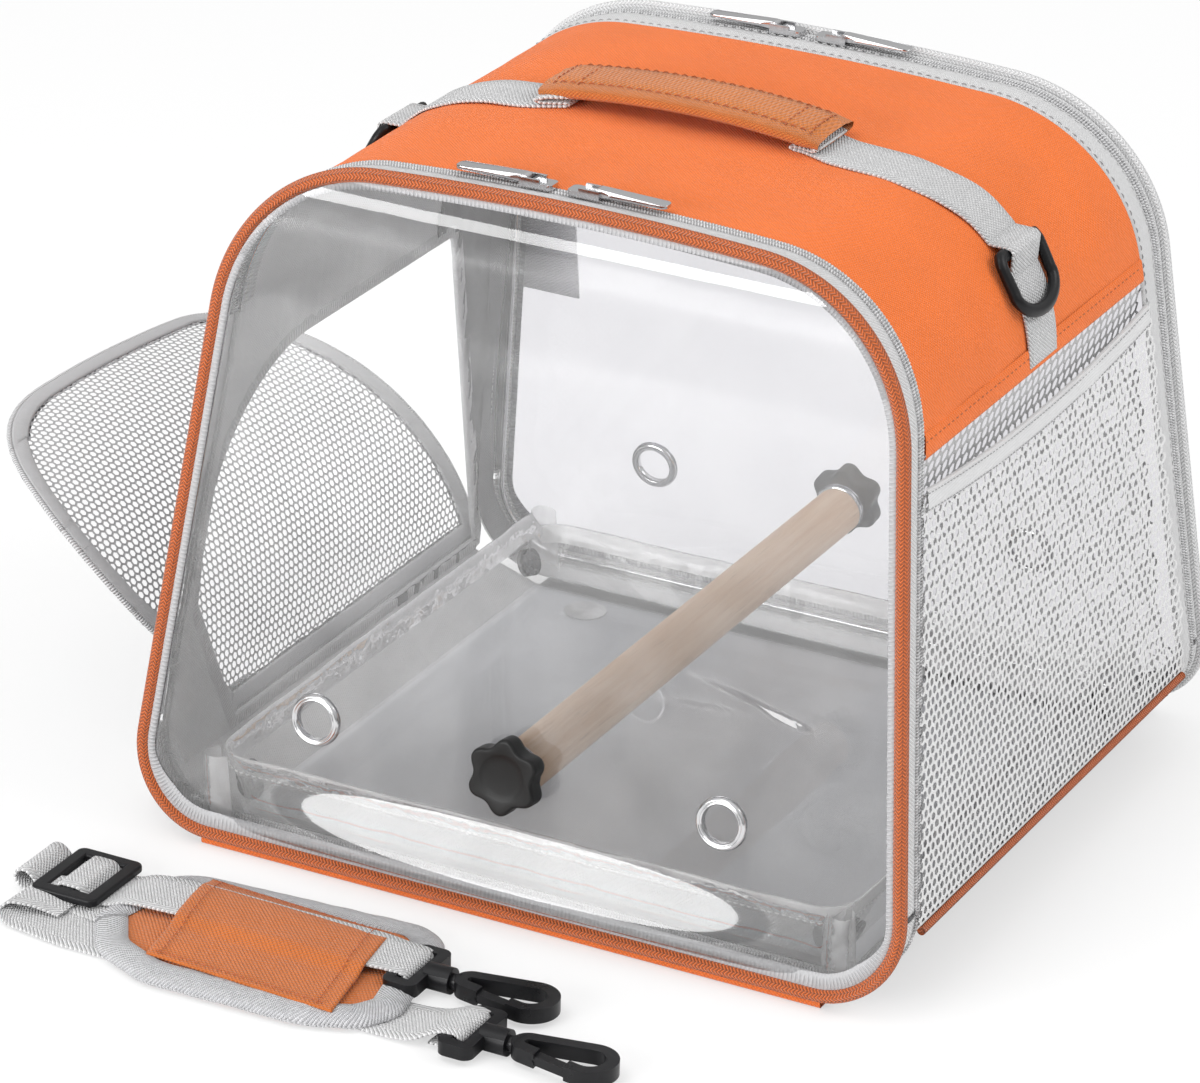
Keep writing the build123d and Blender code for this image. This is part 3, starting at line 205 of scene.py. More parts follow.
def surface(name, rows, cols, place, mat, body, wrap_rows=False, wrap_cols=False, flip=False, **kw):
    """Sheet given by place(i, j), which returns a point and its flat coordinates.

    Where it wraps, the first row or column comes again with its flat coordinates carried on."""
    grid = [[place(i, j) for j in range(cols)] for i in range(rows)]
    if wrap_rows:
        step = grid[1][0][1][0] - grid[0][0][1][0]
        end = grid[-1][0][1][0] + step - grid[0][0][1][0]
        grid.append([(p, (q[0] + end, q[1])) for p, q in grid[0]])
    if wrap_cols:
        for row in grid:
            step = row[1][1][1] - row[0][1][1]
            p, q = row[0]
            row.append((p, (q[0], row[-1][1][1] + step)))
    verts = [p for row in grid for p, q in row]
    uv = [q for row in grid for p, q in row]
    faces = grid_faces(len(grid), len(grid[0]), flip=flip)
    piece = make(name, verts, faces, mat, None, uv=uv, **kw)
    if wrap_rows or wrap_cols:
        weld_normals(piece)
    if body:
        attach(piece, body)
    return piece


def weld_normals(piece):
    """Joins the doubled row of a wrapped sheet; the texture keeps its own corners."""
    modifier(piece, "WELD", merge_threshold=0.000001)


def modifier(piece, kind, **values):
    """Adds a modifier and applies it."""
    m = piece.modifiers.new(kind, kind)
    for key, value in values.items():
        setattr(m, key, value)
    bpy.context.view_layer.update()
    deps = bpy.context.evaluated_depsgraph_get()
    old = piece.data
    piece.data = bpy.data.meshes.new_from_object(piece.evaluated_get(deps))
    piece.modifiers.clear()
    if old.users == 0:
        bpy.data.meshes.remove(old)
    return piece


def thicken(piece, mm, offset=-1.0):
    """Gives a sheet a thickness in millimetres."""
    return modifier(piece, "SOLIDIFY", thickness=mm * MM, offset=offset, use_even_offset=False)


def soften(piece, mm, segments, angle):
    """Rounds the edges of a piece."""
    return modifier(
        piece, "BEVEL", width=mm * MM, segments=segments, limit_method="ANGLE",
        angle_limit=radians(angle), harden_normals=False,
    )


def wobble(x, y, z, scale, seed=0.0):
    """Smooth noise between about -1 and 1 at a point in millimetres."""
    return noise.noise(Vector((x / scale + seed, y / scale + 3.1 * seed, z / scale - seed)))


def joined(name, pieces, replaces=()):
    """One mesh object made of pieces."""
    base = pieces[0]
    if len(pieces) > 1:
        with bpy.context.temp_override(
            active_object=base, object=base, selected_objects=pieces, selected_editable_objects=pieces
        ):
            bpy.ops.object.join()
        base.data.name = name
    base.name = name
    if replaces:
        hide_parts(*replaces)
    return base


def tube(name, path, r, mat, body, sides=8, closed=False, up=None, flat=1.0, **kw):
    """Round or oval tube along points in millimetres."""
    pts = [Vector(p) for p in path]
    n = len(pts)
    verts, uv, run = [], [], 0.0
    for i, p in enumerate(pts):
        a = pts[(i - 1) % n] if closed or i else pts[0]
        b = pts[(i + 1) % n] if closed or i < n - 1 else pts[-1]
        t = (b - a).normalized()
        side = t.cross(up if up else Vector((0, 0, 1)))
        if side.length < 1e-4:
            side = t.cross(Vector((0, 1, 0)))
        side.normalize()
        top = side.cross(t)
        if i:
            run += (p - pts[i - 1]).length
        for k in range(sides):
            angle = 2 * pi * k / sides
            verts.append(p + side * (r * cos(angle)) + top * (r * flat * sin(angle)))
            uv.append((run, 2 * pi * r * k / sides))
    faces = grid_faces(n, sides, closed, True)
    if not closed:
        faces.append(tuple(range(sides)))
        faces.append(tuple(reversed(range((n - 1) * sides, n * sides))))
    return make(name, verts, faces, mat, body, uv=uv, **kw)


# ------------------------------------------------------------------ material helpers


class Shader:
    """A material's node tree with short calls for the nodes that are used here."""

    def __init__(self, name):
        self.mat = bpy.data.materials.new(name)
        self.mat.use_nodes = True
        self.tree = self.mat.node_tree
        self.bsdf = self.tree.nodes["Principled BSDF"]
        self.out = self.tree.nodes["Material Output"]

    def node(self, kind, **values):
        """A new node with its settings."""
        n = self.tree.nodes.new(kind)
        for key, value in values.items():
            setattr(n, key, value)
        return n

    def link(self, value, socket):
        """Feeds a socket from another one, or sets it to a number."""
        if isinstance(value, bpy.types.NodeSocket):
            self.tree.links.new(value, socket)
        else:
            socket.default_value = value

    def math(self, operation, *inputs, clamp=False):
        """Result of a Math node."""
        n = self.node("ShaderNodeMath", operation=operation, use_clamp=clamp)
        for i, value in enumerate(inputs):
            self.link(value, n.inputs[i])
        return n.outputs[0]

    def add(self, a, b):
        return self.math("ADD", a, b)

    def times(self, a, b):
        return self.math("MULTIPLY", a, b)

    def uv(self):
        """Flat coordinates along and across a piece, in millimetres."""
        n = self.node("ShaderNodeUVMap", uv_map="UVMap")
        split = self.node("ShaderNodeSeparateXYZ")
        self.link(n.outputs[0], split.inputs[0])
        return [self.times(split.outputs[i], 1 / MM) for i in range(2)]

    def place(self):
        """Place on the object, in metres."""
        return self.node("ShaderNodeTexCoord").outputs["Object"]

    def wave(self, value, pitch):
        """Sine of a length in millimetres with a period of pitch."""
        return self.math("SINE", self.times(value, 2 * pi / pitch))

    def noise(self, size_mm, detail=3.0, vector=None):
        """Noise from 0 to 1 with features of about a size."""
        n = self.node("ShaderNodeTexNoise")
        self.link(vector or self.place(), n.inputs["Vector"])
        n.inputs["Scale"].default_value = 1 / (size_mm * MM)
        n.inputs["Detail"].default_value = detail
        return n.outputs["Fac"]

    def mix(self, factor, a, b):
        """Mix of two colours or of a colour and a socket."""
        n = self.node("ShaderNodeMix", data_type="RGBA")
        self.link(factor, n.inputs["Factor"])
        for value, socket in ((a, n.inputs["A"]), (b, n.inputs["B"])):
            self.link(value if isinstance(value, bpy.types.NodeSocket) else (*value, 1), socket)
        return n.outputs["Result"]

    def ramp(self, value, low, high, to_low=0.0, to_high=1.0):
        """A value's place between two limits, carried over to two others."""
        n = self.node("ShaderNodeMapRange")
        for i, v in enumerate((value, low, high, to_low, to_high)):
            self.link(v, n.inputs[i])
        return n.outputs[0]

    def shaded(self, tone, low, high, colour, contrast, gain=0.3):
        """A colour that goes from a darker to a lighter shade of itself as a tone rises."""
        dark, light = shade(colour, 1 - contrast), shade(colour, 1 + contrast * gain)
        return self.mix(self.ramp(tone, low, high), dark, light)

    def bump(self, height, mm, strength=1.0, normal=None):
        """Normal for a relief of some millimetres, on top of another normal if one is given."""
        n = self.node("ShaderNodeBump")
        self.link(height, n.inputs["Height"])
        n.inputs["Distance"].default_value = mm * MM
        n.inputs["Strength"].default_value = strength
        if normal:
            self.link(normal, n.inputs["Normal"])
        return n.outputs[0]

    def surface(self, **values):
        """Sets the shader's inputs by name and returns the material."""
        for key, value in values.items():
            if isinstance(value, tuple) and len(value) == 3:
                value = (*value, 1.0)
            self.link(value, self.bsdf.inputs[key.replace("_", " ")])
        return self.mat


def shade(colour, k):
    """A colour made lighter or darker by a factor."""
    return tuple(c * k for c in colour)


def woven(name, colour, pitch=0.62, relief=0.16, sheen=0.25, contrast=0.16):
    """Plain-woven cloth: crossing yarns, small colour changes from yarn to yarn, soft sheen."""
    s = Shader(name)
    u, v = s.uv()
    weave = s.times(s.wave(u, 2 * pitch), s.wave(v, 2 * pitch))
    cloud = s.noise(38, 4.0)
    yarn = s.noise(1.3, 2.0)
    tone = s.add(s.times(weave, contrast / 2), s.times(yarn, contrast))
    tone = s.add(tone, s.times(cloud, contrast))
    colour_out = s.shaded(tone, -contrast / 4, contrast * 1.9, colour, contrast, 0.6)
    height = s.add(weave, s.times(yarn, 0.8))
    slow = s.bump(s.noise(14, 3.0), 0.5, 0.35)
    return s.surface(
        Base_Color=colour_out,
        Roughness=0.85,
        Sheen_Weight=sheen,
        Sheen_Roughness=0.45,
        Normal=s.bump(height, relief, 0.8, slow),
    )


def ribbed(name, colour, along, across, relief, contrast, edge=0.0):
    """Webbing or tape: short ribs in rows, and diagonal rows near both edges if edge is set."""
    s = Shader(name)
    u, v = s.uv()
    rows = s.times(s.wave(u, along), s.wave(v, 2 * across))
    if edge:
        diagonal = s.wave(s.add(u, s.math("ABSOLUTE", v)), 2.2)
        outer = s.math("GREATER_THAN", s.math("ABSOLUTE", v), edge)
        rows = s.add(s.times(rows, s.math("SUBTRACT", 1.0, outer)), s.times(diagonal, outer))
    yarn = s.noise(1.6, 2.0)
    tone = s.add(s.times(rows, 0.5), s.times(yarn, 0.7))
    colour_out = s.shaded(tone, -0.5, 1.2, colour, contrast, 0.35)
    return s.surface(
        Base_Color=colour_out,
        Roughness=0.75,
        Sheen_Weight=0.3,
        Normal=s.bump(s.add(rows, yarn), relief, 0.9),
    )


def twill(name, colour, pitch=1.5, relief=0.22, rough=0.7, contrast=0.16):
    """Tape with slanting ribs."""
    s = Shader(name)
    u, v = s.uv()
    rib = s.wave(s.add(u, s.times(v, 0.8)), pitch)
    cross = s.wave(s.math("SUBTRACT", u, v), pitch * 0.6)
    height = s.add(rib, s.times(cross, 0.45))
    yarn = s.noise(2.2, 2.0)
    tone = s.add(s.times(height, 0.4), yarn)
    colour_out = s.shaded(tone, -0.3, 1.2, colour, contrast)
    return s.surface(
        Base_Color=colour_out, Roughness=rough, Sheen_Weight=0.25, Normal=s.bump(height, relief, 0.8)
    )


def braid(name, colour, pitch=1.9, relief=0.5, contrast=0.5):
    """Knitted cord cover: chevron ribs in columns with dark gaps between them."""
    s = Shader(name)
    u, v = s.uv()
    half_wide = 1.57
    zig = s.math("PINGPONG", s.add(v, half_wide * 20), half_wide)
    rib = s.wave(s.add(u, s.times(zig, 0.9)), pitch)
    gap = s.ramp(zig, 0.0, 0.28, -1.0, 0.0)
    height = s.add(rib, gap)
    yarn = s.noise(1.5, 2.0)
    tone = s.add(height, s.times(yarn, 0.6))
    colour_out = s.shaded(tone, -1.0, 1.1, colour, contrast)
    return s.surface(
        Base_Color=colour_out, Roughness=0.7, Sheen_Weight=0.2, Normal=s.bump(height, relief, 0.9)
    )


def teeth(name, colour, contrast):
    """Row of zip teeth: rounded ridges across the run with dark gaps."""
    s = Shader(name)
    u, v = s.uv()
    tooth_pitch = 1.35
    ridge = s.wave(s.add(u, s.times(v, 0.25)), tooth_pitch)
    return s.surface(
        Base_Color=s.shaded(ridge, -0.9, 0.5, colour, contrast, 0.0),
        Roughness=s.ramp(ridge, -1, 1, 0.6, 0.35),
        Normal=s.bump(ridge, 0.35, 0.9),
    )


def plastic(name, colour, rough, grain=0.03):
    """Moulded plastic with a fine spark-eroded grain and lighter rubbed patches."""
    s = Shader(name)
    fine = s.noise(0.7, 3.0)
    patch = s.noise(16, 3.0)
    colour_out = s.mix(s.ramp(patch, 0.35, 0.75), shade(colour, 0.85), shade(colour, 1.35))
    return s.surface(
        Base_Color=colour_out,
        Roughness=s.ramp(patch, 0.3, 0.8, rough - 0.06, rough + 0.12),
        Specular_IOR_Level=0.28,
        Normal=s.bump(fine, grain, 0.6),
    )


def metal(name, colour, rough):
    """Plated metal with faint wiping marks."""
    s = Shader(name)
    wipe = s.noise(5, 4.0)
    return s.surface(
        Base_Color=colour,
        Metallic=1.0,
        Roughness=s.ramp(wipe, 0.3, 0.8, rough * 0.6, rough * 1.8),
        Normal=s.bump(wipe, 0.02, 0.4),
    )


def thread(name, colour):
    """Twisted sewing thread."""
    s = Shader(name)
    u, v = s.uv()
    twist = s.wave(s.add(u, s.times(v, 1.4)), 0.9)
    return s.surface(
        Base_Color=s.mix(s.ramp(twist, -1, 1), shade(colour, 0.78), colour),
        Roughness=0.55,
        Sheen_Weight=0.2,
        Normal=s.bump(twist, 0.1, 0.7),
    )


vinyl_index = 1.46
vinyl_rough = 0.04
mirror_gain = 1.7
milk_white = (0.9, 0.9, 0.9, 1)


def clear(name, tint=(1.0, 1.0, 1.0), haze=0.03, ripple=0.35, ripple_mm=55, film=1.0):
    """Thin clear vinyl: seen through, with a mirror share that grows at the edges and faint haze."""
    s = Shader(name)
    s.tree.nodes.remove(s.bsdf)
    bump = s.bump(s.noise(ripple_mm, 2.0), ripple)
    fresnel = s.node("ShaderNodeFresnel")
    fresnel.inputs["IOR"].default_value = vinyl_index
    s.link(bump, fresnel.inputs["Normal"])
    through = s.node("ShaderNodeBsdfTransparent")
    through.inputs["Color"].default_value = (*tint, 1)
    gloss = s.node("ShaderNodeBsdfGlossy")
    gloss.inputs["Roughness"].default_value = vinyl_rough
    s.link(bump, gloss.inputs["Normal"])
    milk = s.node("ShaderNodeBsdfDiffuse")
    milk.inputs["Color"].default_value = milk_white
    mist = s.times(s.noise(30, 4.0), 2 * haze)
    body = s.node("ShaderNodeMixShader")
    s.link(mist, body.inputs[0])
    s.tree.links.new(through.outputs[0], body.inputs[1])
    s.tree.links.new(milk.outputs[0], body.inputs[2])
    both = s.node("ShaderNodeMixShader")
    s.link(s.math("MULTIPLY", fresnel.outputs[0], mirror_gain * film, clamp=True), both.inputs[0])
    s.tree.links.new(body.outputs[0], both.inputs[1])
    s.tree.links.new(gloss.outputs[0], both.inputs[2])
    s.tree.links.new(both.outputs[0], s.out.inputs["Surface"])
    return s.mat


def timber(name, light, dark):
    """Turned dowel: fine straight grain along Y with pores."""
    s = Shader(name)
    stretch = s.node("ShaderNodeMapping")
    stretch.inputs["Scale"].default_value = (1.0, 0.06, 1.0)
    s.link(s.place(), stretch.inputs["Vector"])
    grain = s.noise(2.4, 5.0, stretch.outputs[0])
    broad = s.noise(11, 2.0, stretch.outputs[0])
    pores = s.noise(0.8, 2.0, stretch.outputs[0])
    tone = s.add(s.times(grain, 0.7), s.times(broad, 0.5))
    base = s.mix(s.ramp(tone, 0.35, 0.85), dark, light)
    base = s.mix(s.ramp(pores, 0.62, 0.8, 0.0, 0.5), base, shade(dark, 0.6))
    return s.surface(
        Base_Color=base,
        Roughness=s.ramp(grain, 0.3, 0.7, 0.42, 0.62),
        Normal=s.bump(s.add(grain, pores), 0.08, 0.5),
    )


ORANGE = (0.9, 0.18, 0.017)
PALE = (0.82, 0.82, 0.825)

orange_cloth = woven("orange oxford cloth", ORANGE, pitch=0.85, relief=0.3, sheen=0.14, contrast=0.24)
orange_trim = braid("orange piping cloth", (0.66, 0.135, 0.018), pitch=1.6, contrast=0.55)
orange_strip = woven("orange hinge strip cloth", (0.78, 0.165, 0.022), pitch=0.9, relief=0.3, contrast=0.3)
handle_cloth = woven("orange handle cloth", (0.6, 0.18, 0.035), pitch=1.0, relief=0.4, contrast=0.4)
orange_pad = woven("orange pad cloth", (0.58, 0.145, 0.018), pitch=1.0, relief=0.35, contrast=0.32)
# near-black cloth: painted shade for the back tape linings and the rear of the left wall's lining, which lie
# in shadow
painted_shade_post_cloth = woven("post cloth with painted shade", (0.11, 0.11, 0.113), pitch=0.7, relief=0.15, sheen=0.02, contrast=0.2)
grey_lining = woven("grey lining cloth", (0.6, 0.6, 0.605), pitch=0.7, relief=0.15, sheen=0.15, contrast=0.2)
grey_board = woven("grey board cloth", (0.84, 0.85, 0.875), pitch=0.5, relief=0.04, sheen=0.1, contrast=0.05)
grey_tie = ribbed("grey tie cloth", (0.84, 0.84, 0.85), along=1.6, across=1.2, relief=0.4, contrast=0.35)
base_cloth = woven("dark base cloth", (0.05, 0.042, 0.04), pitch=0.6)
zip_tape = twill("light zip tape", PALE, pitch=1.7, relief=0.35, contrast=0.25)
gusset_tape = twill("light gusset tape", shade(PALE, 0.98), pitch=1.1)
pale_binding = ribbed("light binding", shade(PALE, 0.95), along=1.1, across=0.8, relief=0.18, contrast=0.14)
grosgrain = ribbed(
    "ribbed window binding", (0.5, 0.5, 0.51), along=1.9, across=6.0, relief=0.35, contrast=0.25
)
satin_binding = twill("satin door binding", (0.6, 0.6, 0.61), pitch=0.8, relief=0.12, rough=0.5)
back_piping_cloth = braid("light piping cloth", PALE, contrast=0.25, relief=0.35)
webbing = ribbed("light webbing", PALE, along=1.7, across=1.3, relief=0.6, edge=11.8, contrast=0.5)
strap_webbing = ribbed("strap webbing", PALE, along=1.6, across=1.15, relief=0.6, edge=10.5, contrast=0.5)
pad_binding = twill("pad binding", (0.7, 0.7, 0.72), pitch=1.7, relief=0.5, contrast=0.45)
white_net = woven("white net yarn", (0.8, 0.8, 0.8), pitch=0.35, relief=0.08, sheen=0.3, contrast=0.06)
coil_plastic = teeth("zip coil", (0.84, 0.84, 0.85), contrast=0.5)
black_plastic = plastic("black plastic", (0.006, 0.006, 0.007), rough=0.36)
hook_black = plastic("hook enamel", (0.008, 0.008, 0.009), rough=0.3, grain=0.02)
knob_plastic = plastic("knob plastic", (0.007, 0.007, 0.007), rough=0.42, grain=0.05)
bright = metal("plated metal", (0.62, 0.62, 0.63), rough=0.13)
gunmetal = metal("dark plated metal", (0.12, 0.12, 0.125), rough=0.25)
white_dot = plastic("white dot", (0.85, 0.85, 0.85), rough=0.5)
orange_thread = thread("orange thread", shade(ORANGE, 0.6))
grey_thread = thread("grey thread", (0.4, 0.4, 0.41))
pale_thread = thread("light thread", (0.8, 0.8, 0.8))
window_vinyl = clear("window vinyl", tint=(0.98, 0.98, 0.985), haze=0.085, ripple=0.16, film=1.3)
back_window_vinyl = clear("back window vinyl", tint=(0.79, 0.783, 0.812), haze=0.05, film=0.8)
tray_vinyl = clear("tray floor vinyl", haze=0.05, ripple=0.3, ripple_mm=60, film=0.5)
tray_wall_vinyl = clear("tray wall vinyl", haze=0.17, ripple=0.4, ripple_mm=30, film=0.3)
tray_hem_vinyl = clear("tray hem vinyl", haze=0.42, ripple=0.8, ripple_mm=9, film=0.35)
wood = timber("perch wood", (0.88, 0.67, 0.49), (0.7, 0.43, 0.25))
grey_seam = twill("grey overlock seam", (0.42, 0.42, 0.43), pitch=1.6, relief=0.4, contrast=0.5)
wall_net_yarn = woven("grey net yarn", (0.48, 0.48, 0.485), pitch=0.35, relief=0.08, contrast=0.06)
door_net_yarn = woven("side door net yarn", (0.46, 0.46, 0.47), pitch=0.35, relief=0.08, contrast=0.06)
pale_cloth = woven("light side cloth", (0.6, 0.6, 0.61), pitch=0.6)

# the record's finish that each material belongs to
finish_slots = {
    "orange_fabric": (orange_cloth, orange_strip, handle_cloth, orange_pad, orange_thread),
    "orange_piping": (orange_trim,),
    "grey_piping": (back_piping_cloth,),
    "grey_fabric": (grey_lining, painted_shade_post_cloth, base_cloth, pale_cloth, grey_thread),
    "grey_webbing": (webbing, strap_webbing, grey_tie),
    "grey_binding": (pale_binding, grosgrain, satin_binding, pad_binding, grey_seam),
    "grey_mesh": (white_net, wall_net_yarn, door_net_yarn),
    "white_tape": (zip_tape, gusset_tape, coil_plastic, pale_thread, white_dot),
    "clear_sheet": (window_vinyl, back_window_vinyl),
    "tray_sheet": (tray_vinyl, tray_wall_vinyl, tray_hem_vinyl),
    "black_plastic": (black_plastic,),
    "hook_metal": (hook_black,),
    "knob_plastic": (knob_plastic,),
    "nickel": (bright, gunmetal),
    "perch_wood": (wood,),
    "board_cover": (grey_board,),
}
for slot_name, finishes in finish_slots.items():
    for finish in finishes:
        finish["finish_slot"] = slot_name


slice_step = 0.5


def cloth(name, wide, long, area=None, held="stretched", solid=1.0):
    """Works out a sheet's flat area in square metres, solid being the share of a net that is yarn; the area
    is not kept, and the pattern's millimetres, wide and long, and held are not used.
    """
    area = None if area is None else area * solid * MM**2


def laid_across(line, edges):
    """Developed length, greatest depth and area of a pattern that runs from frame to frame."""
    long = wide = area = 0.0
    for (x0, z0), (x1, z1) in zip(line, line[1:]):
        step, x, z = hypot(x1 - x0, z1 - z0), (x0 + x1) / 2, (z0 + z1) / 2
        deep = end_place(BACK, x, z, edges[1])[1] - end_place(FRONT, x, z, edges[0])[1]
        long, wide, area = long + step, max(wide, deep), area + step * deep
    return long, wide, area


def sliced(points, low=None, high=None):
    """Greatest width, height and area of a flat outline between two heights, by thin slices."""
    low = min(p[1] for p in points) if low is None else low
    high = max(p[1] for p in points) if high is None else high
    count = max(1, int((high - low) / slice_step))
    widths = []
    for k in range(count):
        s = low + (k + 0.5) * (high - low) / count
        cuts = [
            p[0] + (q[0] - p[0]) * (s - p[1]) / (q[1] - p[1])
            for p, q in zip(points, [*points[1:], points[0]]) if (p[1] > s) != (q[1] > s)
        ]
        widths.append(max(cuts) - min(cuts) if cuts else 0.0)
    return max(widths), high - low, sum(widths) * (high - low) / count


def yarn_share(pitch, strand):
    """Share of a hexagonal net that its strands fill."""
    return 1 - (1 - strand / pitch) ** 2


# ------------------------------------------------------------------ bands round the end frames

ring_step, coil_step = 3.0, 0.8
ring = outline(ring_step)
fine_ring = outline(coil_step)
both_ends = ((FRONT, "front"), (BACK, "back"))
both_sides = ((RIGHT, "right"), (LEFT, "left"))
body_edges = (front_edge, back_edge)
body_edge_of = {FRONT: front_edge, BACK: back_edge}
tape_edge_of = {FRONT: front_tape, BACK: back_tape}
swell_height, swell_mid, swell_half = 3.6, 95, 80


def swell_at(x, z, back, edge):
    """The left-hand tapes stand proud of the piping low down, where the side panel pulls them."""
    if x > 0 or back <= 0 or z > swell_mid + swell_half:
        return 0.0
    up = max(0.0, 1 - ((z - swell_mid) / swell_half) ** 2)
    return swell_height * up * max(0.0, sin(pi * min(1.0, back / edge)))


def runs_of(points, keep):
    """Stretches of a closed line whose points are kept, in order."""
    n = len(points)
    start = next(i for i in range(n) if keep[i] and not keep[i - 1])
    runs = [[]]
    for k in range(n):
        i = (start + k) % n
        if keep[i]:
            runs[-1].append(points[i])
        elif runs[-1]:
            runs.append([])
    return [run for run in runs if run]


def part_of(points, low=None, high=None):
    """The stretches of an outline between two heights, each with True if it is the whole outline."""
    keep = [(low is None or p[1] >= low) and (high is None or p[1] <= high) for p in points]
    if all(keep):
        return [(points, True)]
    return [(run, False) for run in runs_of(points, keep)]


def band(name, end, profile, mat, body, low=None, high=None, points=None, wave_mm=0.0, replaces=()):
    """Strip round an end frame. The profile lists its inset and its depth behind the frame."""
    across = [0.0]
    for a, b in zip(profile, profile[1:]):
        across.append(across[-1] + hypot(b[0] - a[0], b[1] - a[1]))
    made = []
    for k, (run, closed) in enumerate(part_of(points or ring, low, high)):

        def place(i, j, run=run):
            x, z, nx, nz, s = run[i]
            inset, back = profile[j]
            shift = wave_mm * wobble(x, 50 * end, z, 24, j * 0.3) if 0 < j < len(profile) - 1 else 0
            shift += swell_at(x, z, back, body_edge_of[end])
            p = end_place(end, x - nx * (inset - shift), z - nz * (inset - shift), back)
            return p, (s, across[j] - across[-1] / 2)

        made.append(surface(
            f"{name}_{k}", len(run), len(profile), place, mat, body, wrap_rows=closed, flip=end == FRONT,
        ))
    return joined(name, made, replaces)


def rolled(inset, back_from, back_to, proud=0.4, steps=4, sheet=0.9):
    """Profile of a tape: a shallow crown with both edges turned in."""
    profile = [(inset + sheet, back_from)]
    for i in range(steps + 1):
        t = i / steps
        profile.append((inset - proud * sin(pi * t), back_from + (back_to - back_from) * t))
    profile.append((inset + sheet, back_to))
    return profile


coil_sides, tooth_r, gap_r, coil_proud, coil_sunk = 6, 1.12, 0.82, 0.1, 0.3


def zip_coil(name, end, back, body, low=None):
    """Row of zip teeth as a ribbed strand: every other section is a tooth."""
    pieces = []
    for k, (run, closed) in enumerate(part_of(fine_ring, low)):

        def place(i, j, run=run):
            x, z, nx, nz, s = run[i]
            r = tooth_r if i % 2 else gap_r
            angle = 2 * pi * j / coil_sides
            out = coil_proud + r * sin(angle) - coil_sunk + swell_at(x, z, back, body_edge_of[end])
            return end_place(end, x + nx * out, z + nz * out, back + r * cos(angle)), (s, r * angle)

        pieces.append(surface(
            f"{name}_{k}", len(run), coil_sides, place, coil_plastic, body,
            wrap_rows=closed and len(run) % 2 == 0, wrap_cols=True, flip=end == BACK,
        ))
    return joined(name, pieces)


def stitches(name, points, ups, mat, body, long=2.6, gap=1.6, r=0.28):
    """Dashed seam: short thread stitches along points, which lie off the cloth along ups."""
    sink = 0.1
    walk = 0.0
    pts = [Vector(p) for p in points]
    runs = [0.0]
    for a, b in zip(pts, pts[1:]):
        runs.append(runs[-1] + (b - a).length)
    verts, faces, uv = [], [], []

    def at(s):
        """Point, direction and upward normal at a distance along the seam."""
        for i in range(len(runs) - 1):
            if s <= runs[i + 1]:
                t = (s - runs[i]) / max(runs[i + 1] - runs[i], 1e-9)
                return pts[i].lerp(pts[i + 1], t), (pts[i + 1] - pts[i]).normalized(), Vector(ups[i])
        return pts[-1], (pts[-1] - pts[-2]).normalized(), Vector(ups[-1])

    steps, sides = 5, 5
    while walk + long <= runs[-1]:
        base = len(verts)
        for i in range(steps):
            t = i / (steps - 1)
            p, d, up = at(walk + long * t)
            side = d.cross(up).normalized()
            lift_mm = r * (1.5 * sin(pi * t) - 0.6) - sink
            fat = r * (0.55 + 0.45 * sin(pi * t))
            for k in range(sides):
                a = 2 * pi * k / sides
                verts.append(p + up * (lift_mm + fat * sin(a)) + side * (fat * cos(a)))
                uv.append((long * t, fat * a))
        for i in range(steps - 1):
            for k in range(sides):
                a, b = base + i * sides + k, base + i * sides + (k + 1) % sides
                faces.append((a, b, b + sides, a + sides))
        walk += long + gap
    return make(name, verts, faces, mat, body, uv=uv)


def ring_stitches(name, end, out, back, mat):
    """Dashed seam round an end frame, on the carrier's tape."""
    points = [end_place(end, x + nx * out, z + nz * out, back) for x, z, nx, nz, s in ring]
    stitches(name, points, [(nx, 0, nz) for x, z, nx, nz, s in ring], mat, "carrier")


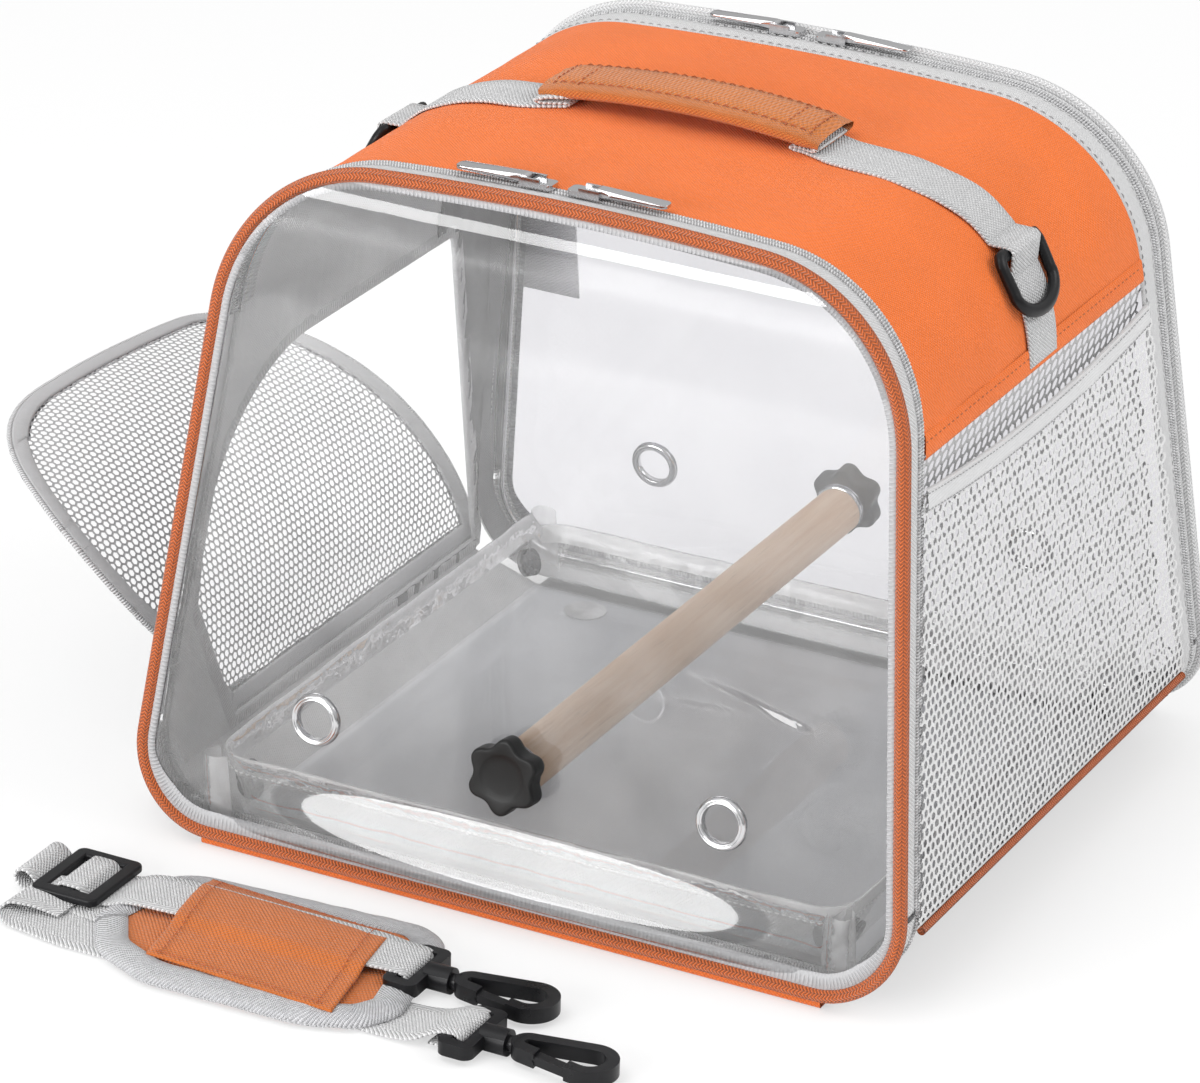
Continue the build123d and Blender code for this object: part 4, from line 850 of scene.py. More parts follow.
tape_under = 2.9
coil_off = 1.15
coil_apart = 0.4
piping_sides = 14
seam_out = 0.45
for end, label in both_ends:
    door = f"{label}_door"
    edge = tape_edge_of[end]
    body_edge = body_edge_of[end]

    def piping_place(i, j, end=end):
        """Round section of the piping about the end frame's edge."""
        x, z, nx, nz, s = ring[i]
        angle = 2 * pi * j / piping_sides
        out, back = piping_r * cos(angle), -piping_r * sin(angle)
        return end_place(end, x + nx * out, z + nz * out, back), (s, piping_r * angle)

    surface(
        f"{label}_piping_cover", len(ring), piping_sides, piping_place,
        orange_trim if end == FRONT else back_piping_cloth, door, wrap_rows=True, wrap_cols=True,
        flip=end == BACK, replaces=[f"{label}_piping"],
    )
    band(
        f"{label}_door_tape_cloth", end, rolled(0.1, piping_r + 0.1, edge, 0.5), zip_tape, door,
        low=zip_stop, replaces=[f"{label}_door_tape"],
    )
    zip_coil(f"{label}_door_coil", end, edge + coil_off, door, low=zip_stop)
    zip_coil(f"{label}_body_coil", end, edge + coil_off + coil_half + coil_apart, "carrier")
    band(
        f"{label}_corner_tape", end, rolled(0.1, piping_r + 0.5, edge + 2.0, 0.4), zip_tape, "carrier",
        high=zip_stop - 0.4,
    )
    if end == BACK:
        band(
            "back_gusset_tape", end, rolled(0.1, edge + 4.9, body_edge, 0.7, steps=6), gusset_tape,
            "carrier", wave_mm=0.35,
        )
        ring_stitches("back_gusset_seam", end, seam_out, body_edge - 2.2, grey_thread)
        ring_stitches("back_gusset_seam_2", end, seam_out, edge + 6.6, pale_thread)
    else:
        band(
            "front_body_tape", end, rolled(0.3, edge + 4.6, body_edge + 1.5, 0.1, steps=2), zip_tape,
            "carrier",
        )
    under = [(tape_under, edge + 3.0), (tape_under, body_edge + 8)]
    band(f"{label}_inner_tape", end, under, grosgrain, "carrier", low=seam_height)
    left_ring = [p for p in ring if p[0] < 0]
    body_lining = [(1.6, edge + 1.2), (2.6, edge + 3.4), (2.2, body_edge - 5), (3.0, body_edge + 2.5)]
    door_lining = [(2.0, piping_r + 0.2), (2.3, piping_r + 2.0), (1.9, edge + 0.5)]
    # the back linings take the near-black cloth as painted shade; the front ones keep the grey lining
    lining = grey_lining if end == FRONT else painted_shade_post_cloth
    band(f"{label}_tape_lining", end, body_lining, lining, "carrier", low=10, high=seam_height,
         points=left_ring, wave_mm=0.9)
    band(f"{label}_door_lining", end, door_lining, lining, door, low=zip_stop + 1, high=seam_height,
         points=left_ring)
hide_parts("body_zip_tapes")


# ------------------------------------------------------------------ soft body


def between(x, z, share, edges=body_edges):
    """Y at a share of the way from the front tape's edge to the back one's."""
    front = end_place(FRONT, x, z, edges[0])[1]
    back = end_place(BACK, x, z, edges[1])[1]
    return front + (back - front) * share


def wall_point(z, y_share, out=0.0, side=RIGHT):
    """Point on a side wall between the two end edges, out along the wall's normal."""
    x = side * side_x(z)
    y = between(x, z, y_share)
    return (x + side * out * cos(side_lean), y, z + out * sin(side_lean))


def roof_stations(step):
    """Stretch of the outline above the side seams, from the right seam to the left one."""
    low = [p for p in outline(step) if p[1] > seam_height + 0.5]
    first = (side_x(seam_height), seam_height, cos(side_lean), sin(side_lean), low[0][4] - step)
    last = (-first[0], first[1], -first[2], first[3], low[-1][4] + step)
    return [first, *low, last]


roof_line = roof_stations(ring_step)
roof_cols = 96
lining_drop = 2.4


def roof_point(i, j, inset, ends, relief):
    """Point of the roof's cloth or lining, with soft hollows that fade towards its sewn edges."""
    x, z, nx, nz, s = roof_line[i]
    y = between(x, z, j / (roof_cols - 1), ends)
    edge_share = min(1.0, 12 * min(j, roof_cols - 1 - j) / roof_cols)
    seam_share = min(1.0, (z - seam_height) / 12)
    soft = 0.8 * wobble(x, y, z, 46, 2) + 0.5 * wobble(x, 3.2 * y, z, 70, 9)
    pull = 0.5 * wobble(4 * x, y, 4 * z, 60, 4) * (1 - abs(2 * j / roof_cols - 1))
    out = relief * (0.25 + 0.75 * edge_share) * seam_share * (soft + pull) - inset
    return (x + nx * out, y, z + nz * out), (s, y)


surface(
    "roof_cloth", len(roof_line), roof_cols, lambda i, j: roof_point(i, j, 0.0, body_edges, 1.0),
    orange_cloth, "carrier", replaces=["roof_cover"], flip=True,
)
surface(
    "roof_inner_cloth", len(roof_line), roof_cols,
    lambda i, j: roof_point(i, j, lining_drop, (front_edge + 2, back_edge + 2), 0.8),
    grey_lining, "carrier", replaces=["roof_lining"],
)

# Folded hem and topstitch along the two side seams of the roof
roof_hem = [(-1.2, -0.5), (-1.6, 0.6), (-0.4, 1.05), (3.5, 1.0), (8.0, 0.85), (9.0, 0.2)]
hem_seam_up = 5.6
seam_parts = 60
for side, label in both_sides:

    def hem_place(i, j, side=side):
        up, out = roof_hem[j]
        p = wall_point(seam_height + up, i / (roof_cols - 1), out=out, side=side)
        return p, (p[1], up)

    surface(
        f"roof_hem_{label}", roof_cols, len(roof_hem), hem_place, orange_cloth, "carrier",
        flip=side == LEFT,
    )
    line = [
        wall_point(seam_height + hem_seam_up, i / seam_parts, out=1.0, side=side)
        for i in range(seam_parts + 1)
    ]
    wall_up = (side * cos(side_lean), 0, sin(side_lean))
    stitches(f"roof_seam_{label}", line, [wall_up] * len(line), orange_thread, "carrier")


HEX_ROW = 0.8660254  # distance between a hexagonal net's rows, as a share of its pitch


def net(name, u_range, v_range, pitch, strand, place, mat, body, keep=None, **kw):
    """Hexagonal net as real geometry. place(u, v, height) gives the point, keep(u, v) the cut."""
    verts, uv, faces, known = [], [], [], {}

    def vertex(u, v, high):
        key = (round(u * 50), round(v * 50), high)
        if key not in known:
            known[key] = len(verts)
            verts.append(place(u, v, 0.3 * strand if high else 0.0))
            uv.append((u, v))
        return known[key]

    row = pitch * HEX_ROW
    for j in range(int((v_range[1] - v_range[0]) / row) + 1):
        v = v_range[0] + j * row
        shift = pitch / 2 if j % 2 else 0.0
        for i in range(int((u_range[1] - u_range[0] - shift) / pitch) + 1):
            u = u_range[0] + shift + i * pitch
            if keep and not keep(u, v):
                continue
            corners, holes = [], []
            for k in range(6):
                a = radians(30 + 60 * k)
                r = pitch / 3**0.5
                corners.append(vertex(u + r * cos(a), v + r * sin(a), True))
                h = (pitch - strand) / 3**0.5
                holes.append(vertex(u + h * cos(a), v + h * sin(a), False))
            for k in range(6):
                n = (k + 1) % 6
                faces.append((corners[k], corners[n], holes[n], holes[k]))
    return make(name, verts, faces, mat, body, uv=uv, **kw)


# pitch and strand of each net
wall_net, pocket_mesh, door_mesh = (6.6, 1.8), (4.7, 1.6), (4.0, 1.15)
slack_line = [(240.0, 0.0), (226.0, 1.0), (206.0, 7.0), (48.0, 8.0), (37.0, 0.0)]


def slack_at(z):
    """How far the wall's net hangs inside the flat wall at a height."""
    for (z0, s0), (z1, s1) in zip(slack_line, slack_line[1:]):
        if z1 <= z <= z0:
            return s0 + (s1 - s0) * (z0 - z) / (z0 - z1)
    return 0.0


def mesh_wall_place(u, v, lift_mm):
    """Point of the right wall's net at y and z, lift_mm further out."""
    z = min(max(v, net_foot), net_top)
    x = side_x(z) - slack_at(z) - 0.6 + 0.4 * wobble(0, u, z, 30, 3)
    return (x + lift_mm, u, z)


def between_tapes(u, v):
    """True between the front and back tapes, and a little under them."""
    x, under = side_x(v), 2
    return end_place(FRONT, x, v, front_edge)[1] - under < u < end_place(BACK, x, v, back_edge)[1] + under


net_span = (-150, 150)
first_row = net_foot + 0.5
net(
    "right_wall_net", net_span, (first_row, 231), *wall_net, mesh_wall_place, wall_net_yarn, "carrier",
    keep=between_tapes, replaces=["right_mesh_panel"],
)
pocket_high, pocket_sag = 221.0, 11.0


def pocket_top(y):
    """Height of the pocket's open edge, which hangs a little between its ends."""
    return pocket_high - pocket_sag * max(0.0, 1 - ((y + 5) / 150) ** 2)


def pocket_out(y, z):
    """How far the pocket's mesh stands off the flat wall: fuller and creased towards the rear."""
    share = min(1.0, max(0.0, pocket_top(y) - z) / 20) * min(1.0, (z - net_foot) / 25)
    rear = 0.35 + 0.65 * min(1.0, max(0.0, (y + 40) / 120))
    creases = wobble(0, 3.4 * y, 0.7 * z, 34, 5) * 1.5 + wobble(0, 5.5 * y, 1.1 * z, 40, 8) * 0.8
    return 0.5 + share * rear * (1.1 + creases)


def pocket_place(u, v, lift_mm):
    """Point of the pocket's net at y and z, lift_mm further out."""
    z = min(max(v, net_foot), pocket_top(u))
    y = u + 0.5 * wobble(0, u, z, 16, 6) * 1.2
    out = pocket_out(y, z) + lift_mm
    return (side_x(z) + out * cos(side_lean), y, z + out * sin(side_lean))


net(
    "pocket_net", net_span, (first_row, pocket_high), *pocket_mesh, pocket_place, white_net, "carrier",
    keep=lambda u, v: between_tapes(u, v) and v < pocket_top(u), replaces=["side_pocket"],
)

pocket_hem = [(-9.0, 0.9), (-8.6, 2.0), (-7.0, 2.35), (-4.0, 2.3), (-0.5, 2.2), (0.6, 1.3), (0.3, 0.1)]


hem_parts, hem_level = 99, 218.0


def pocket_rim(share, drop, out):
    """Point below the pocket's open edge, at a share of the way to the back."""
    z = pocket_top(wall_point(hem_level, share)[1]) + drop
    return wall_point(z, share, out=out)


def pocket_hem_place(i, j):
    drop, out = pocket_hem[j]
    bow = 0.6 * wobble(0, i * 3, 0, 40, 2)
    p = pocket_rim(i / hem_parts, drop, out + max(0.0, bow))
    return p, (p[1], drop)


surface(
    "pocket_hem", hem_parts + 1, len(pocket_hem), pocket_hem_place, pale_binding, "carrier",
    replaces=["edge_bindings"],
)
for drop, row in ((-7.8, "low"), (-1.0, "high")):
    line = [pocket_rim(i / seam_parts, drop, 2.5) for i in range(seam_parts + 1)]
    wall_up = (cos(side_lean), 0, sin(side_lean))
    stitches(
        f"pocket_hem_seam_{row}", line, [wall_up] * len(line), grey_thread, "carrier",
        long=2.0, gap=1.0, r=0.22,
    )

# ---- left wall with the opening for the side door

opening_front, opening_rear, opening_top, opening_bottom = -128.0, 78.0, 196.5, 18.0
rear_slope, front_r, rear_r, foot_front, foot_height = 0.34, 76.0, 6.0, -83.0, 92.0
door_overlap = 8.5


def fillet(points, radii, step=4.0):
    """Closed polygon with rounded corners, as points."""
    out, n = [], len(points)
    for i, (p, r) in enumerate(zip(points, radii)):
        p, a, b = Vector(p), Vector(points[i - 1]), Vector(points[(i + 1) % n])
        if r <= 0:
            out.append(p)
            continue
        da, db = (a - p).normalized(), (b - p).normalized()
        half = da.angle(db) / 2
        reach = r / tan(half)
        centre = p + (da + db).normalized() * (r / sin(half))
        s, e = p + da * reach - centre, p + db * reach - centre
        turn = s.angle_signed(e)
        k = max(2, int(abs(turn) * r / step))
        for m in range(k + 1):
            angle = -turn * m / k
            c, d = cos(angle), sin(angle)
            out.append(centre + Vector((s.x * c - s.y * d, s.x * d + s.y * c)))
    return out


def evenly(points, step):
    """Closed line with points added along its long runs."""
    dense = []
    for i, p in enumerate(points):
        q = points[(i + 1) % len(points)]
        k = max(1, round((q - p).length / step))
        dense += [p.lerp(q, m / k) for m in range(k)]
    return dense


opening_step = 4.0


def opening_outline(margin=0.0, step=opening_step, radii=None):
    """Outline of the side opening seen from outside: a runs towards the front, z up."""
    top = opening_top + margin
    rear_top = opening_rear + margin / 2
    rear_foot = rear_top + (top - opening_bottom) * rear_slope
    corners = [
        (-rear_foot, opening_bottom),
        (-foot_front, opening_bottom),
        (-opening_front + margin, foot_height),
        (-opening_front + margin, top),
        (-rear_top, top),
    ]
    points = fillet(corners, radii or [0, 0, 0, front_r, rear_r], step)
    return evenly(points, step)


def inside(points, a, z):
    """True if a point is inside a closed polygon."""
    hit, n = False, len(points)
    for i in range(n):
        p, q = points[i], points[i - 1]
        if (p[1] > z) != (q[1] > z) and a < (q[0] - p[0]) * (z - p[1]) / (q[1] - p[1]) + p[0]:
            hit = not hit
    return hit


hole = opening_outline()
hole_wide = opening_outline(3.0)


wall_low = 12
wall_step = 3.2
lining_in = -1.6
# y from which the left wall's lining turns to near-black cloth, which is painted shade
painted_shade_from = 60


def left_wall(name, out, mat, part=(-inf, inf), ridge=0.0, **kw):
    """Left wall sheet with the opening cut out of it; ridge makes upright folds."""
    rows = int((seam_height - wall_low) / wall_step)
    cols = 100
    verts, uv, faces = [], [], []
    for i in range(rows + 1):
        z = wall_low + (seam_height - wall_low) * i / rows
        for j in range(cols + 1):
            y = wall_point(z, j / cols, side=LEFT)[1]
            fold = ridge * (wobble(0, y * 3.2, z * 0.25, 22, 6) + 0.5 * wobble(0, y * 6, z * 0.4, 22, 2))
            p = wall_point(z, j / cols, out=out - abs(fold), side=LEFT)
            verts.append(p)
            uv.append((p[1], z))
    for i in range(rows):
        for j in range(cols):
            a = i * (cols + 1) + j
            quad = (a, a + 1, a + cols + 2, a + cols + 1)
            mid_y = sum(verts[k][1] for k in quad) / 4
            mid_z = sum(verts[k][2] for k in quad) / 4
            if not inside(hole_wide, -mid_y, mid_z) and part[0] <= mid_y < part[1]:
                faces.append(quad if out > -1 else tuple(reversed(quad)))
    return make(name, verts, faces, mat, "carrier", uv=uv, **kw)


left_wall("left_wall_cloth", 0.0, pale_cloth, replaces=["left_side_panel"])
# towards the back the left wall's lining is the near-black cloth: painted shade in the rear-left corner
left_wall("left_wall_lining", lining_in, grey_lining, part=(-inf, painted_shade_from), ridge=0.9)
left_wall("left_rear_lining_painted_shade", lining_in, painted_shade_post_cloth, part=(painted_shade_from, inf), ridge=2.2)


def rim(name, points, mat, body):
    """Binding folded over a cut edge: runs round a closed outline of the left wall."""
    out, width, proud = 0.2, 6.5, 0.7
    n = len(points)
    profile = [(width, out + 0.1), (width - 0.6, out + proud), (0.4, out + proud), (-0.5, 0.3), (-0.5, -1.6),
               (0.4, -2.1), (width - 0.6, -2.1), (width, -1.7)]

    def place(i, j):
        p, q, r = points[i - 1], points[i], points[(i + 1) % n]
        d = (Vector(r) - Vector(p)).normalized()
        away = Vector((d.y, -d.x))
        w, o = profile[j]
        a, z = q[0] + away.x * w, q[1] + away.y * w
        x = -side_x(z)
        return (x - o * cos(side_lean), -a, z + o * sin(side_lean)), (i * opening_step, w)

    return surface(name, n, len(profile), place, mat, body, wrap_rows=True)


rim("left_opening_binding", hole, grosgrain, "carrier")

# ---- bottom, flaps and side pipings

floor_half, floor_up, flap_high, left_flap = 148.0, 0.3, 37.0, 12.0
flap_out = side_x(flap_high) - floor_half
bottom_line = (
    [(-side_x(left_flap), left_flap)]
    + [(-floor_half - 34 * (1 - k / 6), floor_up + 11.7 * (1 - k / 6)) for k in range(1, 6)]
    + [(-floor_half + 2 * floor_half * k / 24, floor_up) for k in range(25)]
    + [(floor_half + flap_out * k / 8, floor_up + (flap_high - floor_up) * k / 8) for k in range(1, 9)]
)
bottom_cols = 41


def bottom_place(i, j, lift_mm=0.0):
    """Point of the bottom cloth, or of the lining that lies lift_mm above it."""
    x, z = bottom_line[i]
    y = between(x, z, j / (bottom_cols - 1))
    sag = 0.4 * max(0.0, wobble(x, y, 0, 35, 1)) if z > 1 else 0.0
    return (x, y, max(0.05, z + sag + lift_mm)), (x, y)


surface(
    "bottom_cloth", len(bottom_line), bottom_cols, bottom_place, base_cloth, "carrier",
    replaces=["bottom_panel"],
)
surface(
    "bottom_lining", len(bottom_line), bottom_cols, lambda i, j: bottom_place(i, j, 1.2), grey_lining,
    "carrier", flip=True,
)
side_piping_r, side_piping_drop, side_piping_out = 1.9, 2.4, 1.1
for (side, label), flap_top in zip(both_sides, (flap_high, left_flap)):
    z = flap_top - side_piping_drop
    x = side * (side_x(z + side_piping_drop) + side_piping_out)
    path = [(x, between(x, z, k / seam_parts), z) for k in range(seam_parts + 1)]
    tube(f"side_piping_{label}", path, side_piping_r, orange_trim, "carrier", sides=12)
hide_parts("side_pipings")

strip_half, strip_parts = 147, 60
for end, label in both_ends:
    edge = body_edge_of[end]
    strip = [
        (-0.05, 3.2), (-0.1, 2.0), (0.1, 0.7), (0.6, 0.2), (1.4, 0.2), (6, 0.2), (12, 0.25),
        (edge - 0.3, 0.3), (edge, 1.2),
    ]

    def strip_place(i, j, end=end, profile=strip):
        x = -strip_half + 2 * strip_half * i / strip_parts
        y_in, z = profile[j]
        return (x, end * (depth / 2 - y_in), z), (x, y_in + z)

    surface(
        f"{label}_hinge_strip", strip_parts + 1, len(strip), strip_place,
        orange_strip if end == FRONT else pale_cloth, "carrier", flip=end == FRONT,
        replaces=["hinge_strips"] if end == FRONT else (),
    )


# ------------------------------------------------------------------ clear windows and their bindings


window_inset = 3.2
window_edge = [
    (x - nx * window_inset, (z - nz * window_inset - lift) / cos(end_lean)) for x, z, nx, nz, s in ring
]


def smooth_step(t):
    """Rises softly from 0 to 1 as t does."""
    t = min(1.0, max(0.0, t))
    return t * t * (3 - 2 * t)


# both ends of each fold, and its height
creases = [((18, 99), (156, 109), 0.75), ((60, 122), (152, 98), 0.55), ((-152, 236), (-98, 262), 0.5)]
crease_bow, crease_half = 4.0, 3.4


def crease_at(x, up):
    """Bowed folds in the front sheet: two beside the right eyelet, one at the upper left."""
    total = 0.0
    for (x0, up0), (x1, up1), high in creases:
        dx, dup = x1 - x0, up1 - up0
        t = ((x - x0) * dx + (up - up0) * dup) / (dx * dx + dup * dup)
        if 0 < t < 1:
            off = ((x - x0) * dup - (up - up0) * dx) / hypot(dx, dup) + crease_bow * sin(pi * t)
            total += high * sin(pi * t) / (1 + (off / crease_half) ** 2) ** 2
    return total


top_bulge, foot_bulge, foot_mid, foot_half = 3.4, 8.5, 3, 145


def window_bulge(x, up, end):
    """Gentle waves of the clear sheet, flat at the eyelets."""
    to_eyelet = min(hypot(x - c, up - perch_up) for c in (-eyelet_x, 0, eyelet_x))
    hold = min(1.0, max(0.0, to_eyelet - 20) / 35)
    wide = min(1.0, max(0.0, (178 - abs(x)) / 22))
    top = top_bulge * smooth_step((302 - up) / 16) * smooth_step((up - 240) / 34)
    lens = max(0.0, 1 - ((x - foot_mid) / foot_half) ** 2)
    foot = foot_bulge * lens * smooth_step((up - 2) / 6) * (1 - smooth_step((up - 6) / 35))
    middle = 0.5 * wobble(x, up, 7 * end, 90, 3) * smooth_step((up - 55) / 40)
    folds = crease_at(x, up) if end == FRONT else 0.0
    return wide * (hold * (top + middle) + foot + folds)


def window(end, label):
    """Clear sheet of an end door: loops that shrink from its edge to its middle, denser at the edge."""
    centre = (0.0, 150.0)
    shares = [1 - 0.94 * (k / 54) ** 1.25 for k in range(55)]
    verts, uv, faces = [], [], []
    n = len(window_edge)
    for t in shares:
        for x, up in window_edge:
            a, b = centre[0] + (x - centre[0]) * t, centre[1] + (up - centre[1]) * t
            verts.append(tuple(end_point(end, a, b, window_bulge(a, b, end)) / MM))
            uv.append((a, b))
    for i in range(len(shares) - 1):
        for j in range(n):
            a, b = i * n + j, i * n + (j + 1) % n
            faces.append((a, b, b + n, a + n))
    verts.append(tuple(end_point(end, *centre, window_bulge(*centre, end)) / MM))
    uv.append(centre)
    last = (len(shares) - 1) * n
    faces += [(last + j, last + (j + 1) % n, len(verts) - 1) for j in range(n)]
    make(
        f"{label}_window_vinyl", verts, faces, window_vinyl if end == FRONT else back_window_vinyl,
        f"{label}_door", uv=uv, replaces=[f"{label}_window"],
    )


def window_trim(end, label):
    """Ribbed binding just inside the piping, wider along the bottom."""
    narrow, wider = 3.4, 3.6
    profile = [(0.0, 0.3), (0.06, 1.25), (0.5, 1.4), (0.92, 1.25), (1.0, 0.45)]

    def place(i, j):
        x, z, nx, nz, s = ring[i]
        t, out = profile[j]
        wide = narrow + (wider * min(1.0, (-nz - 0.2) / 0.5) if nz < -0.2 else 0.0)
        inset = piping_r - 0.4 + wide * t
        p = end_place(end, x - nx * inset, z - nz * inset, -out)
        return p, (s, wide * t)

    surface(
        f"{label}_window_trim", len(ring), len(profile), place, grosgrain, f"{label}_door", wrap_rows=True,
        flip=end == FRONT, replaces=[f"{label}_window_binding"],
    )


def revolve(name, profile, matrix, mat, body, sides=40, close=True, **kw):
    """Turned piece: profile lists radius and height along the matrix's Z."""
    verts, uv = [], []
    for i in range(sides):
        a = 2 * pi * i / sides
        for r, h in profile:
            verts.append(tuple((matrix @ Vector((r * cos(a) * MM, r * sin(a) * MM, h * MM))) / MM))
            uv.append((r * a, h))
    faces = grid_faces(sides, len(profile), True, close, True)
    return make(name, verts, faces, mat, body, uv=uv, **kw)


eyelet_profile = [
    (8.3, -1.5), (8.3, 1.5), (8.5, 2.0), (8.9, 2.25), (9.25, 2.1), (9.45, 1.7), (9.7, 2.1), (10.2, 2.3),
    (10.8, 1.9), (11.3, 1.2), (11.6, 0.5), (11.4, 0.45),
    (9.6, 0.4), (9.6, -0.4), (11.4, -0.45), (11.6, -0.6), (11.0, -1.5), (10.0, -1.75), (8.8, -1.75),
]
for end, label in both_ends:
    window(end, label)
    window_trim(end, label)
    rings = [
        revolve(f"{label}_eyelet_{k}", eyelet_profile, end_matrix(end, x, perch_up), bright, f"{label}_door")
        for k, x in enumerate((-eyelet_x, 0, eyelet_x))
    ]
    joined(f"{label}_eyelet_set", rings, [f"{label}_eyelets"])


def knob(end, label):
    """Six-lobed hand knob with rounded edges and a shallow round dish in its face."""
    base = end_matrix(end, 0, perch_up)
    sides, lobes, mean_r, lobe_high = 120, 6, 15.3, 1.6
    # radius or share of the lobed edge, height, and 1 where it is such a share
    rows = [
        (0.0, 1.75, 0), (9.4, 1.75, 0), (9.5, 3.1, 0), (0.86, 3.2, 1), (0.95, 3.5, 1), (0.99, 4.1, 1),
        (1.0, 5.4, 1), (1.0, 11.0, 1), (0.99, 12.1, 1), (0.965, 12.75, 1), (0.935, 13.0, 1), (0.9, 13.05, 1),
        (0.8, 12.95, 1), (10.4, 12.85, 0), (10.0, 12.75, 0), (9.5, 12.55, 0), (7.0, 12.3, 0), (4.0, 12.15, 0),
        (0.0, 12.1, 0),
    ]
    verts, uv = [], []
    for r, h, lobed in rows:
        for k in range(sides):
            a = 2 * pi * k / sides
            c = cos(lobes * (a - pi / 2))
            edge = mean_r + lobe_high * (c * (1 + 0.12 * (1 - c * c)))
            rr = r * edge if lobed else r
            verts.append(tuple((base @ Vector((rr * cos(a) * MM, rr * sin(a) * MM, h * MM))) / MM))
            uv.append((rr * cos(a), rr * sin(a)))
    make(
        f"{label}_hand_knob", verts, grid_faces(len(rows), sides, False, True), knob_plastic,
        f"{label}_clamp_knob", uv=uv, replaces=[f"{label}_knob"],
    )


for end, label in both_ends:
    knob(end, label)


weld_reach = 0.00001
edge_angle = 35


def copy_cad(node, mat, body, bevel=0.3, segments=2, hull=False, fuller=(0.0, 0.0)):
    """Copy of a CAD node with rounded edges, which stands for it.

    hull fills its hollows, and fuller is how many millimetres its walls move out, flat and upright."""
    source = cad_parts[node]
    mesh = source.data.copy()
    piece = bpy.data.objects.new(f"{node}_finish", mesh)
    bpy.context.scene.collection.objects.link(piece)
    mesh.materials.clear()
    mesh.materials.append(mat)
    if hull:
        work = bmesh.new()
        work.from_mesh(mesh)
        filled = bmesh.ops.convex_hull(work, input=work.verts)
        bmesh.ops.delete(work, geom=list({*filled["geom_interior"], *filled["geom_unused"]}), context="VERTS")
        work.to_mesh(mesh)
        work.free()
    modifier(piece, "WELD", merge_threshold=weld_reach)
    if any(fuller):
        work = bmesh.new()
        work.from_mesh(piece.data)
        bmesh.ops.dissolve_limit(work, angle_limit=radians(0.5), verts=work.verts, edges=work.edges)
        work.normal_update()
        moves = [(v, v.normal * v.calc_shell_factor()) for v in work.verts]
        for v, way in moves:
            v.co += Vector((way.x * fuller[0], way.y * fuller[0], way.z * fuller[1])) * MM
        work.to_mesh(piece.data)
        work.free()
    for polygon in piece.data.polygons:
        polygon.use_smooth = True
    soften(piece, bevel, segments, edge_angle)
    modifier(piece, "WEIGHTED_NORMAL", keep_sharp=False)
    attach(piece, body)
    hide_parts(node)


def dress(node, mat):
    """Gives a CAD node that keeps its own shape a material."""
    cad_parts[node].data.materials.clear()
    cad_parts[node].data.materials.append(mat)


for label in ("front", "back"):
    for side in ("left", "right"):
        copy_cad(f"{label}_slider_{side}", bright, f"{label}_slider_{side}", 0.5)
        copy_cad(f"{label}_pull_{side}", bright, f"{label}_pull_{side}", 0.3, hull=True)
dress("perch_dowel", wood)
for node in ("perch_inserts", "front_stud", "back_stud", "front_hoop", "back_hoop"):
    dress(node, bright)

# ------------------------------------------------------------------ board, dots and clear tray

board_wide, board_deep, board_high, board_thick = 290.0, 270.0, 5.7, 3.8


def board():
    """Stiff board wrapped in grey cloth, with soft edges."""
    n, m = 40, 38
    verts, uv, faces = [], [], []
    for i in range(n + 1):
        for j in range(m + 1):
            x, y = -board_wide / 2 + board_wide * i / n, -board_deep / 2 + board_deep * j / m
            near = min(board_wide / 2 - abs(x), board_deep / 2 - abs(y))
            top = board_high - 1.6 * max(0.0, 1 - near / 3.0) ** 2 - 0.12 + 0.1 * wobble(x, y, 0, 60, 4)
            verts.append((x, y, top))
            uv.append((x, y))
    faces = grid_faces(n + 1, m + 1, flip=True)
    piece = make("board_cloth", verts, faces, grey_board, "carrier", uv=uv, replaces=["base_board"])
    thicken(piece, board_thick)


board()
dress("board_dots", white_dot)

tray_wide, tray_deep, tray_y, tray_low, tray_rim = 280.0, 282.0, -2.0, 6.7, 24.0
tray_flare = radians(22)
tray_corner, tray_step = 6.0, 3.0
rim_rise = 1.3


def tray_loop():
    """Rounded rectangle round the tray's floor, in order, with outward normals."""
    a, b = tray_wide / 2 - tray_corner, tray_deep / 2 - tray_corner
    out = []
    for cx, cy, start in ((a, b, 0), (-a, b, 90), (-a, -b, 180), (a, -b, 270)):
        for k in range(6):
            turn = radians(start + 90 * k / 5)
            c, s = cos(turn), sin(turn)
            out.append((cx + tray_corner * c, cy + tray_corner * s, c, s))
    dense = []
    for i, p in enumerate(out):
        q = out[(i + 1) % len(out)]
        k = max(1, int(hypot(q[0] - p[0], q[1] - p[1]) / tray_step))
        dense += [tuple(p[c] + (q[c] - p[c]) * m / k for c in range(4)) for m in range(k)]
    return dense


def tray_point(x, y, nx, ny, share, out=0.0):
    """Point on the tray's wall: share runs from its foot to its rim, which is lowest at the back."""
    high = tray_rim * (1.0 if ny > 0.5 else rim_rise)
    crease = 1.2 * wobble(2.0 * x, 2.0 * y, 30 * share, 60, 7) + 0.5 * wobble(5 * x, 5 * y, 20 * share, 60, 2)
    grow = share * tray_rim * tan(tray_flare) + min(1.0, 2 * share) * crease + out
    z = tray_low + share * high + 0.9 * share * wobble(x, y, 0, 38, 5)
    return (x + nx * grow, tray_y + y + ny * grow, z)


